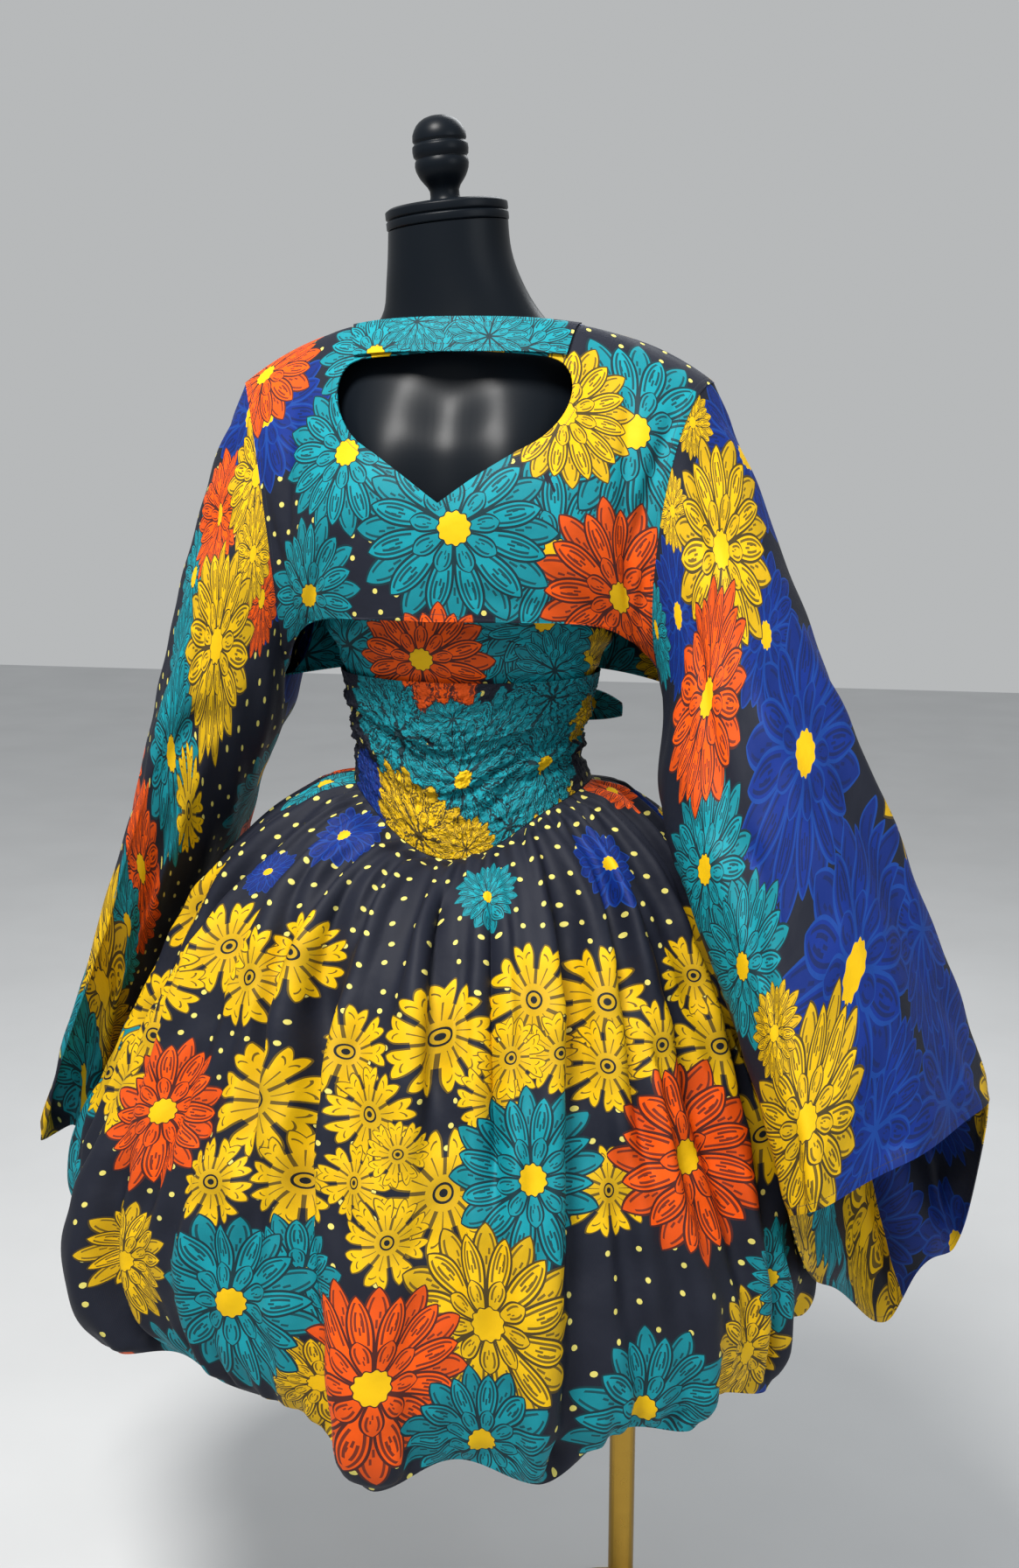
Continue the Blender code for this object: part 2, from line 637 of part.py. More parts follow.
def add_ties(cloth, parent):
    """The knot at the centre back and the sash's two ends, one out to the right and one hanging."""
    knot = bmesh.new()
    bmesh.ops.create_uvsphere(knot, u_segments=14, v_segments=8, radius=1.0)
    bmesh.ops.scale(knot, vec=KNOT_SIZE, verts=knot.verts)
    mesh = bpy.data.meshes.new("sash_knot")
    knot.to_mesh(mesh)
    knot.free()
    mesh.shade_smooth()
    made = add_object("sash_knot", mesh, cloth, parent)
    made.location = TIE_ROOT
    right = tie_end(TIE_ROOT + Vector((0.0209, -0.002, 0.004)), RIGHT_TIE_TIP, -0.004, 0.022)
    left = tie_end(TIE_ROOT + Vector((-0.0217, -0.002, -0.004)), LEFT_TIE_TIP, -0.012, 0.020)
    for name, surface in (("tie_right", right), ("tie_left", left)):
        add_object(name, cloth_wall(name, surface, evenly(-1, 1, 5), evenly(0, TIE_LENGTH, 9)), cloth, parent)


# Sleeves

def sleeve_surface(rows, clear):
    """The sleeve: turn from 0 at its outer line, first through the front; t from armhole to hem."""
    outers = [Vector(row.outer) for row in rows]
    inners = [Vector(row.inner) for row in rows]
    fronts = [Vector(row.front) for row in rows]
    backs = [Vector(row.back) for row in rows]

    def surface(turn, t):
        angle = math.radians(turn)
        outer, inner = smooth(outers, t), smooth(inners, t)
        bulge = smooth(fronts, t) if math.sin(angle) > 0 else smooth(backs, t)
        wave = 1 + SLEEVE_WAVE * t * math.sin(2 * SLEEVE_LOBES * angle)
        point = (outer + inner) / 2 + (outer - inner) / 2 * math.cos(angle)
        point += bulge * abs(math.sin(angle)) * wave
        point.x += clear
        return point

    def normal(turn, t, out):
        share = 1 - ease(t / SEAM_SPAN)
        return (out * (1 - share) + armhole_out(surface(turn, 0.0)) * share).normalized()

    return surface, normal


def add_sleeves(cloth, parent):
    """Each sleeve is a front and a back panel, sewn along its outer line and along the underarm."""
    rows = evenly(0, 1, 13)
    for name, table, clear, side in (
        ("sleeve_right", RIGHT_SLEEVE, 2 * SEAM_GAP, 1.0),
        ("sleeve_left", LEFT_SLEEVE, -2 * SEAM_GAP, -1.0),
    ):
        surface, normal = sleeve_surface(table, clear)
        for panel, start in (("front", 0.0), ("back", 180.0)):
            turns = evenly(start + SLEEVE_SEAM, start + 180.0 - SLEEVE_SEAM, SLEEVE_SIDES // 2 + 1)
            label = f"{name}_{panel}"
            wall = cloth_wall(label, surface, turns, rows, normal=normal, side=side)
            add_object(label, wall, cloth, parent)


# Skirt

def fold_share(turn, fold):
    return math.exp(-(abs(turn_from(turn, fold.angle) / fold.half_angle) ** 1.7))


def skirt(turn, t):
    """The gathered puff skirt, turn in degrees from +X, t from the waist seam to the hem."""
    row = {name: smooth(column(SKIRT_ROWS, name), t) for name in SkirtRow._fields}
    angle = math.radians(turn)
    cos, sin = math.cos(angle), math.sin(angle)
    side = row["right"] if cos > 0 else row["left"]
    depth = row["front"] if sin < 0 else row["back"]
    out = sum(f.depth * fold_share(turn, f) for f in FOLDS)
    drop = sum(f.drop * fold_share(turn, f) for f in FOLDS)
    push = row["fold"] * out + row["gather"] * math.cos(GATHERS * angle)
    seam = waist_seam(turn)
    z = row["height"] + (seam - WAIST_SEAM) * (1 - t) ** 3 - (drop - HEM_RISE) * row["fold"] ** 5
    free = Vector(((side + push) * cos, (depth + push) * sin, z))
    sewn = form_point(turn, form_at(seam), WAIST_CLEAR)
    sewn.z = seam
    return sewn.lerp(free, ease(t / SEAM_SPAN))


def add_skirt(cloth, parent):
    rows = evenly(0, 1, 11)
    for name, low, high in (("skirt_front", 180.09, 359.91), ("skirt_back", 0.09, 179.91)):
        panel = cloth_wall(name, skirt, evenly(low, high, 2 * GATHERS + 1), rows, side=-1.0)
        add_object(name, panel, cloth, parent)


def main():
    for thing in list(bpy.data.objects):
        bpy.data.objects.remove(thing)
    cloth = material("wax_print_cotton", (0.03, 0.33, 0.38), 0.72)
    black = material("form_gloss_black", (0.018, 0.019, 0.021), 0.28)
    brass = material("stand_brass", (0.72, 0.50, 0.16), 0.30, 1.0)
    axis = bpy.data.objects.new("form_axis", None)
    bpy.context.scene.collection.objects.link(axis)
    axis.location = (FORM_OFFSET, 0.0, 0.0)
    add_stand(brass)
    add_form(black, axis)
    add_neck_cap(black, axis)
    add_top(cloth, axis)
    band = cloth_wall("neck_band", neck_band, evenly(-1, 1, 15), evenly(0, 1, 4), normal=band_normal,
                      thick=BAND_THICK)
    add_object("neck_band", band, cloth, axis)
    add_waist(cloth, axis)
    add_ties(cloth, axis)
    add_sleeves(cloth, axis)
    add_skirt(cloth, axis)
    bpy.context.view_layer.update()


if __name__ == "__main__":
    main()
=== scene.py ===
"""Looks of the mini dress: printed cotton with its folds, gloss form, brass stand and a plain studio."""

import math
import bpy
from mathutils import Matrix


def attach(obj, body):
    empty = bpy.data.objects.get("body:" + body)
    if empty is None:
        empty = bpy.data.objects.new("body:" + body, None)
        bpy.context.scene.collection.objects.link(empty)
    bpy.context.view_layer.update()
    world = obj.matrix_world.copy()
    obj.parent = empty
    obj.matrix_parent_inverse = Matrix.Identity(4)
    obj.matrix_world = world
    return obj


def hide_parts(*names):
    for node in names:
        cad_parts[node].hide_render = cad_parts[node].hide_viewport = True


bl_info = {
    "name": "Mini Dress on a Dress Form",
    "version": (1, 0, 0),
    "blender": (4, 5, 0),
    "location": "3D View > Sidebar > Mini Dress",
    "description": "Builds the wax-print dress, its form and stand, and a plain studio",
    "category": "Object",
}

from collections import namedtuple
from functools import partialmethod

import bpy
import numpy as np
from bpy.props import FloatProperty, FloatVectorProperty, IntProperty, PointerProperty
from mathutils import Vector

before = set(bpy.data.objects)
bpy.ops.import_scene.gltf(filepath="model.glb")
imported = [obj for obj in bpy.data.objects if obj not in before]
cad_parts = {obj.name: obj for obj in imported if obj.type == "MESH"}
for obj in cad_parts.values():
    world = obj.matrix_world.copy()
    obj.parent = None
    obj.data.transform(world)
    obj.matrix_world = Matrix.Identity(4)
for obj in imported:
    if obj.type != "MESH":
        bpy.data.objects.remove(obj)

FORM_OFFSET = -0.160

# The form, bottom to neck

FormRow = namedtuple("FormRow", "height half_width front back shift")
FORM_ROWS = (
    FormRow(0.760, 0.160, 0.098, 0.108, 0.030),
    FormRow(0.815, 0.170, 0.106, 0.120, 0.028),
    FormRow(0.870, 0.171, 0.108, 0.122, 0.024),
    FormRow(0.930, 0.160, 0.102, 0.110, 0.016),
    FormRow(0.990, 0.132, 0.094, 0.092, 0.006),
    FormRow(1.055, 0.104, 0.086, 0.077, -0.006),
    FormRow(1.120, 0.116, 0.092, 0.083, -0.006),
    FormRow(1.190, 0.137, 0.103, 0.095, -0.005),
    FormRow(1.260, 0.150, 0.111, 0.104, -0.008),
    FormRow(1.330, 0.158, 0.110, 0.107, -0.011),
    FormRow(1.390, 0.164, 0.092, 0.100, -0.014),
    FormRow(1.427, 0.158, 0.075, 0.086, -0.016),
    FormRow(1.4525, 0.1205, 0.064, 0.073, -0.013),
    FormRow(1.4745, 0.0825, 0.059, 0.064, -0.0080),
    FormRow(1.505, 0.070, 0.055, 0.056, -0.0175),
    FormRow(1.538, 0.060, 0.053, 0.053, -0.024),
    FormRow(1.570, 0.058, 0.052, 0.052, -0.025),
)
BUST_HEIGHT = 1.292
BUST_HALF_SPAN = 0.072
BUST_RISE = 0.030
BUST_WIDE = 0.046
BUST_TALL = 0.066
FORM_TOP = 1.570
NECK_TILT = 0.10
SEAT_GAP = 0.0003
LOW_CAP_SPAN = 0.004
NECK_CAP_SPAN = 0.014
CAP_FLATNESS = 0.95
TURNED_SIDES = 72
EASED_CORNER = 0.0007
PLATE_STRETCH = 0.9

# Half-widths and heights above the neck, of the turned plate and finial

PLATE = (
    (0.0560, 0.0000), (0.0590, 0.0015), (0.0590, 0.0080), (0.0565, 0.0095),
    (0.0590, 0.0110), (0.0590, 0.0175), (0.0550, 0.0200),
)
KNOB = (
    (0.0200, 0.0203), (0.0165, 0.0218), (0.0148, 0.0245), (0.0140, 0.0285), (0.0140, 0.0330),
    (0.0160, 0.0372), (0.0190, 0.0410), (0.0216, 0.0446), (0.0235, 0.0482), (0.0251, 0.0522),
    (0.0258, 0.0562), (0.0254, 0.0600), (0.0240, 0.0625), (0.0262, 0.0650), (0.0268, 0.0695),
    (0.0265, 0.0740), (0.0240, 0.0765), (0.0258, 0.0790), (0.0253, 0.0845), (0.0235, 0.0890),
    (0.0210, 0.0930), (0.0180, 0.0960), (0.0136, 0.0988), (0.0080, 0.1006), (0.0030, 0.1010),
)

# Where the chest is drawn out or in: across, height, how far, and over what size

SLOPES = (
    (-0.066, 1.372, 0.0100, 0.075),
    (0.054, 1.372, 0.0100, 0.075),
    (-0.006, 1.405, -0.0070, 0.055),
)

# The cropped top

SHOULDER_POINT = np.array((0.232, 0.0, 1.425))
UNDERARM_POINT = np.array((0.200, 0.0, 1.132))
ARMHOLE_DEPTH = 0.080
ARMHOLE_SCOOP = 0.028
NECK_SIDE = 0.4735
FRONT_HEM = 1.210
BACK_HEM = 1.134
NECK_HEIGHT = 1.481
BACK_NECK_RISE = 0.006
HEM_FALL = 6.0
SHOULDER_FALL = 3.2
BACK_HEM_FALL = 5.0
BACK_SHOULDER_FALL = 2.6
BACK_SEAM_FROM = 0.70
BACK_NECK_ROUND = 2.4
BACK_NECK_REACH = 0.6
SIDE_GAP = 0.0004
BAND_LOW = 0.787
BAND_CLEAR = 0.0034
TIGHT_CLOTH = 0.0014

TopRow = namedtuple("TopRow", "depth spread power")
FRONT_ROWS = (
    TopRow(-0.146, 1.60, 1.0),
    TopRow(-0.149, 1.60, 1.0),
    TopRow(-0.146, 1.55, 1.1),
    TopRow(-0.124, 1.35, 1.3),
    TopRow(-0.099, 1.15, 1.9),
    TopRow(-0.079, 1.00, 2.4),
)
BACK_ROWS = (
    TopRow(0.118, 1.60, 1.0),
    TopRow(0.122, 1.60, 1.0),
    TopRow(0.124, 1.55, 1.0),
    TopRow(0.120, 1.50, 1.0),
    TopRow(0.104, 1.40, 1.1),
    TopRow(0.080, 1.30, 1.2),
)

# The keyhole, across and height

KEYHOLE = (
    (-0.006, 1.318), (0.026, 1.341),
    (0.058, 1.361), (0.084, 1.376),
    (0.101, 1.395), (0.108, 1.416),
    (0.104, 1.435), (0.088, 1.447),
    (0.045, 1.452), (-0.004, 1.453),
    (-0.054, 1.450), (-0.098, 1.445),
    (-0.112, 1.433), (-0.115, 1.415),
    (-0.108, 1.394), (-0.092, 1.375),
    (-0.068, 1.360), (-0.036, 1.339),
    (-0.006, 1.318),
)

# Waist

SASH_TOP = 1.146
SASH_TOP_CLEAR = 0.0080
SASH_FOLD = 0.0022
SASH_FOLDS = 3.6
SASH_SLANT = 0.9
SASH_HUG_FROM = 0.375
SASH_GAP = 0.0005
SASH_DRAPE = 0.0026
SASH_RIPPLE = 0.0016
SASH_CRUMPLE = 0.0022
MIDRIFF_LOW = 1.120
MIDRIFF_TOP = 1.228
MIDRIFF_CLEAR = 0.0027
WAIST_SEAM = 1.012
SIDE_RISE = 0.024
WAIST_CLEAR = 0.0125
BASQUE_DROP = 0.038
BASQUE_ANGLE = 263.0
BASQUE_SPREAD = 30.0
TIE_ROOT = np.array((0.006, 0.1025, 1.080))
KNOT_SIZE = np.array((0.021, 0.013, 0.026))
TIE_WIDTH = 0.024

# Sleeves

SleeveRow = namedtuple("SleeveRow", "outer inner front back")
RIGHT_SLEEVE = (
    SleeveRow((0.232, 0.000, 1.425), (0.200, 0.000, 1.132), (-0.028, -0.080, 0.0), (-0.028, 0.080, 0.0)),
    SleeveRow((0.266, -0.002, 1.350), (0.201, -0.008, 1.090), (-0.018, -0.086, 0.0), (-0.008, 0.092, -0.010)),
    SleeveRow((0.302, -0.008, 1.262), (0.194, -0.040, 1.040), (-0.008, -0.092, 0.004), (0.0, 0.112, -0.028)),
    SleeveRow((0.341, -0.014, 1.168), (0.212, -0.092, 0.985), (0.000, -0.096, 0.010), (0.006, 0.138, -0.056)),
    SleeveRow((0.384, -0.020, 1.070), (0.242, -0.140, 0.922), (0.004, -0.098, 0.016), (0.012, 0.168, -0.096)),
    SleeveRow((0.428, -0.026, 0.968), (0.274, -0.178, 0.852), (0.006, -0.098, 0.022), (0.018, 0.200, -0.148)),
    SleeveRow((0.474, -0.034, 0.858), (0.304, -0.210, 0.776), (0.004, -0.096, 0.026), (0.026, 0.234, -0.212)),
    SleeveRow((0.521, -0.042, 0.740), (0.332, -0.236, 0.694), (0.000, -0.092, 0.028), (0.034, 0.268, -0.290)),
)
LEFT_SLEEVE = (
    SleeveRow((-0.232, 0.000, 1.425), (-0.200, 0.000, 1.132), (0.028, -0.080, 0.0), (0.028, 0.080, 0.0)),
    SleeveRow((-0.266, 0.004, 1.345), (-0.204, 0.002, 1.090), (0.014, -0.088, 0.0), (0.010, 0.090, -0.005)),
    SleeveRow((-0.296, 0.010, 1.248), (-0.228, 0.010, 1.045), (0.002, -0.098, 0.0), (0.004, 0.102, -0.015)),
    SleeveRow((-0.324, 0.020, 1.130), (-0.260, 0.026, 0.990), (-0.004, -0.110, 0.0), (0.004, 0.116, -0.025)),
    SleeveRow((-0.358, 0.034, 1.005), (-0.296, 0.044, 0.920), (-0.006, -0.122, 0.0), (0.014, 0.130, -0.040)),
    SleeveRow((-0.400, 0.050, 0.878), (-0.338, 0.066, 0.835), (-0.006, -0.130, 0.0), (0.030, 0.142, -0.055)),
    SleeveRow((-0.448, 0.066, 0.752), (-0.390, 0.090, 0.735), (-0.004, -0.134, 0.0), (0.050, 0.152, -0.075)),
    SleeveRow((-0.490, 0.080, 0.625), (-0.436, 0.112, 0.625), (-0.002, -0.136, 0.0), (0.070, 0.158, -0.095)),
)
SLEEVE_LOBES = 3
SLEEVE_WAVE = 0.13
SLEEVE_LAP = 0.0008
SLEEVE_SWELL = 0.0060
SLEEVE_RIPPLE = 0.0022

# Skirt

GATHERS = 28
SEAM_SPAN = 0.07
HEM_RISE = 0.030
SKIRT_FLAT_WIDTH = 2.45
DOT_FIELD_WIDTH = 1.75
PLEAT_COUNT = 53
PLEAT_DEPTH = 0.0042
FALL_DEPTH = 0.0075
CRUMPLE_DEPTH = 0.0024
PUCKER_COUNT = 71
PUCKER_DEPTH = 0.0030

SkirtRow = namedtuple("SkirtRow", "height left right front back fold gather")
SKIRT_ROWS = (
    SkirtRow(1.012, 0.148, 0.142, 0.118, 0.112, 0.000, 0.0012),
    SkirtRow(1.006, 0.165, 0.156, 0.136, 0.130, 0.030, 0.0040),
    SkirtRow(0.978, 0.212, 0.190, 0.172, 0.168, 0.120, 0.0055),
    SkirtRow(0.935, 0.256, 0.222, 0.208, 0.206, 0.240, 0.0060),
    SkirtRow(0.880, 0.290, 0.246, 0.240, 0.240, 0.360, 0.0055),
    SkirtRow(0.815, 0.320, 0.268, 0.268, 0.268, 0.480, 0.0045),
    SkirtRow(0.750, 0.352, 0.290, 0.292, 0.292, 0.600, 0.0030),
    SkirtRow(0.685, 0.382, 0.312, 0.312, 0.312, 0.720, 0.0015),
    SkirtRow(0.620, 0.404, 0.330, 0.326, 0.328, 0.830, 0.0000),
    SkirtRow(0.560, 0.408, 0.342, 0.334, 0.334, 0.920, 0.0000),
    SkirtRow(0.505, 0.386, 0.338, 0.334, 0.326, 0.980, 0.0000),
    SkirtRow(0.470, 0.352, 0.318, 0.324, 0.308, 1.000, 0.0000),
)
Fold = namedtuple("Fold", "angle depth half_angle drop")
FOLDS = (
    (190.0, 0.036, 10.0, 0.004), (213.0, 0.044, 8.0, 0.030),
    (238.0, 0.010, 9.0, 0.000), (267.0, 0.056, 8.0, 0.030),
    (290.0, 0.044, 11.0, 0.030), (314.0, 0.040, 7.0, 0.014),
    (332.0, 0.038, 8.0, 0.024), (352.0, 0.020, 9.0, 0.006),
    (17.0, 0.026, 9.0, 0.012), (41.0, 0.036, 9.0, 0.022),
    (66.0, 0.040, 8.5, 0.014), (91.0, 0.036, 9.0, 0.024),
    (116.0, 0.044, 8.5, 0.016), (141.0, 0.034, 9.0, 0.022),
    (166.0, 0.022, 9.0, 0.008),
)

# The print: where each flower lies on its panel, in metres of cloth, later ones over earlier ones.
# A star after the tint marks a flower whose yellow eye is lost in the folds.

Bloom = namedtuple("Bloom", "u v radius tint turn wide", defaults=(0, 1.0))
BLOOMS = {
    "print_top_front": (
        (-0.205, 0.221, 0.080, "blue"), (0.105, 0.067, 0.087, "teal", 100),
        (-0.099, 0.159, 0.081, "teal", 25), (-0.158, 0.030, 0.079, "teal", 150),
        (0.034, 0.256, 0.068, "teal", 50), (-0.074, 0.259, 0.069, "teal"),
        (0.225, 0.096, 0.073, "teal"), (0.174, 0.196, 0.100, "teal", 60),
        (-0.219, 0.273, 0.075, "orange"), (0.180, 0.040, 0.098, "orange", 40),
        (0.104, 0.199, 0.073, "yellow", 20), (0.010, 0.086, 0.096, "teal"),
        (-0.006, -0.047, 0.064, "orange"),
    ),
    "print_top_back": (
        (-0.215, -0.035, 0.085, "teal*"), (0.225, -0.030, 0.060, "yellow*"),
    ),
    "print_neck_band": (
        (0.004, 0.060, 0.060, "teal*", 20), (0.064, 0.004, 0.054, "teal*", 45),
        (-0.020, -0.012, 0.052, "teal*", 10), (0.030, 0.014, 0.040, "teal*", 70),
        (-0.080, -0.002, 0.062, "teal"), (-0.040, 0.030, 0.034, "teal*", 30),
    ),
    "print_midriff_front": (
        (-0.117, 0.057, 0.081, "teal*"), (0.055, 0.077, 0.058, "teal*", 70),
        (0.149, 0.041, 0.043, "yellow", 15), (0.090, 0.088, 0.062, "teal"),
        (0.102, 0.037, 0.050, "teal*"), (-0.028, 0.050, 0.071, "orange"),
    ),
    "print_sash": (
        (-0.109, 0.000, 0.050, "blue*"), (0.102, 0.110, 0.060, "teal*", 45),
        (-0.052, 0.104, 0.072, "teal*"), (0.030, 0.088, 0.062, "teal*", 20),
        (0.003, 0.137, 0.034, "teal*"), (-0.014, 0.236, 0.098, "orange*", 9),
        (0.161, 0.091, 0.052, "teal*"), (0.157, 0.070, 0.026, "yellow"),
        (0.052, 0.008, 0.061, "teal*", 20), (0.105, 0.000, 0.034, "yellow"),
        (0.098, 0.042, 0.053, "teal"), (0.012, 0.074, 0.056, "teal", 10),
        (-0.044, 0.015, 0.060, "yellow*", 25), (0.004, 0.008, 0.032, "yellow*"),
    ),
    "print_sleeve_left": (
        (-0.124, 0.000, 0.076, "blue"), (0.015, 0.000, 0.068, "blue"),
        (-0.074, 0.142, 0.052, "teal"), (-0.037, 0.209, 0.052, "teal", 45),
        (-0.090, 0.083, 0.056, "orange"), (0.034, 0.026, 0.043, "orange"),
        (-0.065, 0.005, 0.061, "yellow"), (-0.010, 0.029, 0.042, "yellow"),
        (0.004, 0.114, 0.075, "yellow", 30), (0.003, 0.236, 0.066, "teal"),
        (0.047, 0.217, 0.034, "daisy"), (0.011, 0.353, 0.056, "orange"),
        (0.015, 0.415, 0.045, "teal"), (0.014, 0.503, 0.088, "yellow"),
        (0.035, 0.603, 0.082, "teal"),
    ),
    "print_sleeve_right": (
        (-0.174, 0.077, 0.083, "blue"), (0.014, 0.056, 0.057, "blue"),
        (-0.096, 0.650, 0.082, "blue*", 0, 1.6), (0.010, 0.560, 0.060, "blue*", 20, 1.4),
        (-0.150, 0.540, 0.070, "blue*", 50, 1.3), (-0.089, 0.198, 0.065, "blue"),
        (0.042, 0.291, 0.047, "blue", 45), (-0.072, 0.298, 0.092, "blue", 0, 1.35),
        (-0.020, 0.452, 0.092, "blue", 30, 1.55), (-0.126, 0.009, 0.032, "yellow"),
        (-0.045, 0.017, 0.031, "yellow"), (0.068, 0.013, 0.041, "teal"),
        (0.083, 0.227, 0.073, "teal"), (0.085, 0.321, 0.067, "teal", 25),
        (-0.082, 0.102, 0.089, "yellow"), (0.008, 0.143, 0.066, "orange", 20, 1.3),
        (0.078, 0.475, 0.078, "yellow", 0, 1.15), (0.078, 0.391, 0.038, "yellow", 30),
    ),
    "print_skirt_front": (
        (-0.523, 0.019, 0.040, "teal"), (-0.257, 0.038, 0.041, "blue"),
        (0.551, 0.019, 0.035, "orange"), (0.336, 0.083, 0.046, "blue"),
        (-0.336, 0.105, 0.026, "blue"), (0.088, 0.080, 0.040, "teal", 12),
        (0.152, 0.191, 0.052, "daisy"), (0.257, 0.205, 0.052, "daisy", 15),
        (0.421, 0.205, 0.038, "daisy"), (0.029, 0.219, 0.053, "daisy", 30),
        (0.094, 0.276, 0.037, "daisy"), (0.247, 0.262, 0.042, "daisy", 10),
        (0.176, 0.240, 0.036, "daisy"), (0.329, 0.255, 0.041, "daisy"),
        (0.039, 0.358, 0.057, "daisy", 10), (-0.182, 0.303, 0.057, "daisy"),
        (-0.084, 0.240, 0.044, "daisy", 25), (-0.186, 0.165, 0.046, "daisy"),
        (-0.326, 0.185, 0.047, "daisy"), (-0.513, 0.178, 0.051, "daisy", 10),
        (-0.121, 0.371, 0.047, "daisy"), (-0.210, 0.391, 0.042, "daisy", 20),
        (-0.043, 0.290, 0.042, "daisy"), (-0.049, 0.351, 0.033, "daisy"),
        (-0.009, 0.317, 0.029, "daisy"), (-0.012, 0.391, 0.038, "daisy"),
        (-0.383, 0.233, 0.042, "daisy"), (0.118, 0.240, 0.036, "daisy"),
        (-0.322, 0.351, 0.078, "orange"), (-0.312, 0.497, 0.060, "yellow"),
        (-0.104, 0.459, 0.063, "teal"), (-0.084, 0.548, 0.047, "yellow", 25),
        (-0.169, 0.497, 0.087, "teal"), (0.135, 0.344, 0.083, "teal"),
        (0.336, 0.358, 0.095, "orange", 20), (0.084, 0.465, 0.089, "yellow"),
        (-0.015, 0.502, 0.080, "orange"), (0.077, 0.570, 0.074, "teal", 10),
        (0.244, 0.570, 0.083, "teal"), (0.373, 0.548, 0.066, "yellow"),
        (0.428, 0.487, 0.050, "teal"),
    ),
    "print_tie_right": (
        (0.000, 0.080, 0.060, "teal"),
    ),
    "print_tie_left": (
        (0.000, 0.100, 0.060, "yellow"),
    ),
    "print_sash_knot": (
        (0.060, 0.030, 0.080, "teal"),
    ),
}

# Sides that the front view hides: fields of the same flowers, (u from, to), (v from, to), spacing and sizes

Field = namedtuple("Field", "across down step radius tints")
LARGE = ("teal", "yellow", "orange", "teal", "blue", "yellow", "teal", "orange")
FIELDS = {
    "print_top_front": (Field((-0.32, 0.32), (-0.08, 0.34), 0.150, 0.082, ("teal", "blue", "yellow")),),
    "print_top_back": (Field((-0.36, 0.36), (-0.09, 0.40), 0.165, 0.092, LARGE),),
    "print_midriff_back": (Field((-0.22, 0.22), (0.00, 0.12), 0.110, 0.070, ("teal", "orange", "teal")),),
    "print_sash": (Field((-0.40, 0.40), (0.00, 0.18), 0.115, 0.070, ("teal", "yellow", "teal", "blue")),),
    "print_sleeve_right": (
        Field((0.12, 0.70), (0.00, 0.95), 0.180, 0.100, LARGE),
        Field((-0.70, -0.12), (0.00, 0.95), 0.180, 0.105, ("blue", "blue", "yellow")),
    ),
    "print_sleeve_left": (Field((-0.42, 0.42), (0.00, 0.90), 0.170, 0.092, LARGE),),
    "print_skirt_front": (
        Field((-0.62, 0.62), (0.37, 0.62), 0.170, 0.092, LARGE),
        Field((-0.62, 0.62), (0.20, 0.36), 0.092, 0.046, ("daisy",)),
    ),
    "print_skirt_back": (
        Field((-0.62, 0.62), (0.37, 0.62), 0.170, 0.095, LARGE),
        Field((-0.62, 0.62), (0.18, 0.38), 0.104, 0.049, ("daisy",)),
        Field((-0.55, 0.55), (0.03, 0.08), 0.280, 0.045, ("blue", "orange", "teal")),
    ),
}


FIELD_ROW = 0.87
FIELD_STRAY = 0.2
FIELD_CLEAR = 0.72
DAISIES_LEFT_OUT = 0.22


def all_blooms(name):
    """A panel's charted flowers over the ones that fill the rest of it."""
    charted = [Bloom(*row) for row in BLOOMS.get(name, ())]
    pick = np.random.default_rng(len(name) * 7)
    filled = []
    for field in FIELDS.get(name, ()):
        rows = max(1, round((field.down[1] - field.down[0]) / (field.step * FIELD_ROW)) + 1)
        columns = round((field.across[1] - field.across[0]) / field.step) + 1
        for r in range(rows):
            for c in range(columns):
                stray_u = pick.uniform(-FIELD_STRAY, FIELD_STRAY)
                stray_v = pick.uniform(-FIELD_STRAY, FIELD_STRAY)
                u = field.across[0] + (c + 0.5 * (r % 2)) * field.step + stray_u * field.step
                v = field.down[0] + r * field.step * FIELD_ROW + stray_v * field.step
                radius = field.radius * pick.uniform(0.84, 1.16)
                tint = field.tints[(3 * r + c) % len(field.tints)]
                turn = pick.uniform(0, 90)
                if tint == "daisy" and pick.uniform(0, 1) < DAISIES_LEFT_OUT:
                    continue
                if all(math.hypot(u - b.u, v - b.v) > FIELD_CLEAR * (radius + b.radius) for b in charted):
                    filled.append(Bloom(u, v, radius, tint, turn))
    return (*filled, *charted)


# Soft curves and surfaces, on whole arrays at once

def smooth(values, at):
    """A soft curve through evenly spaced values, read at 0 to 1."""
    values = np.asarray(values, float)
    last = len(values) - 1
    place = np.clip(at, 0.0, 1.0) * last
    i = np.minimum(place.astype(int), last - 1)
    f = place - i
    if values.ndim > 1:
        f = f[..., None]
    padded = np.concatenate((2 * values[:1] - values[1:2], values, 2 * values[-1:] - values[-2:-1]))
    before, here, after, beyond = padded[i], padded[i + 1], padded[i + 2], padded[i + 3]
    slope = (after - before) * f
    bend = (before * 2 - here * 5 + after * 4 - beyond) * f**2
    twist = (here * 3 - before - after * 3 + beyond) * f**3
    return (here * 2 + slope + bend + twist) * 0.5


def column(rows, name):
    return [getattr(row, name) for row in rows]


def ease(x):
    x = np.clip(x, 0.0, 1.0)
    return x * x * (3 - 2 * x)


def stack(x, y, z):
    return np.stack(np.broadcast_arrays(x, y, z), axis=-1)


def turn_from(angle, centre):
    return (angle - centre + 180.0) % 360.0 - 180.0


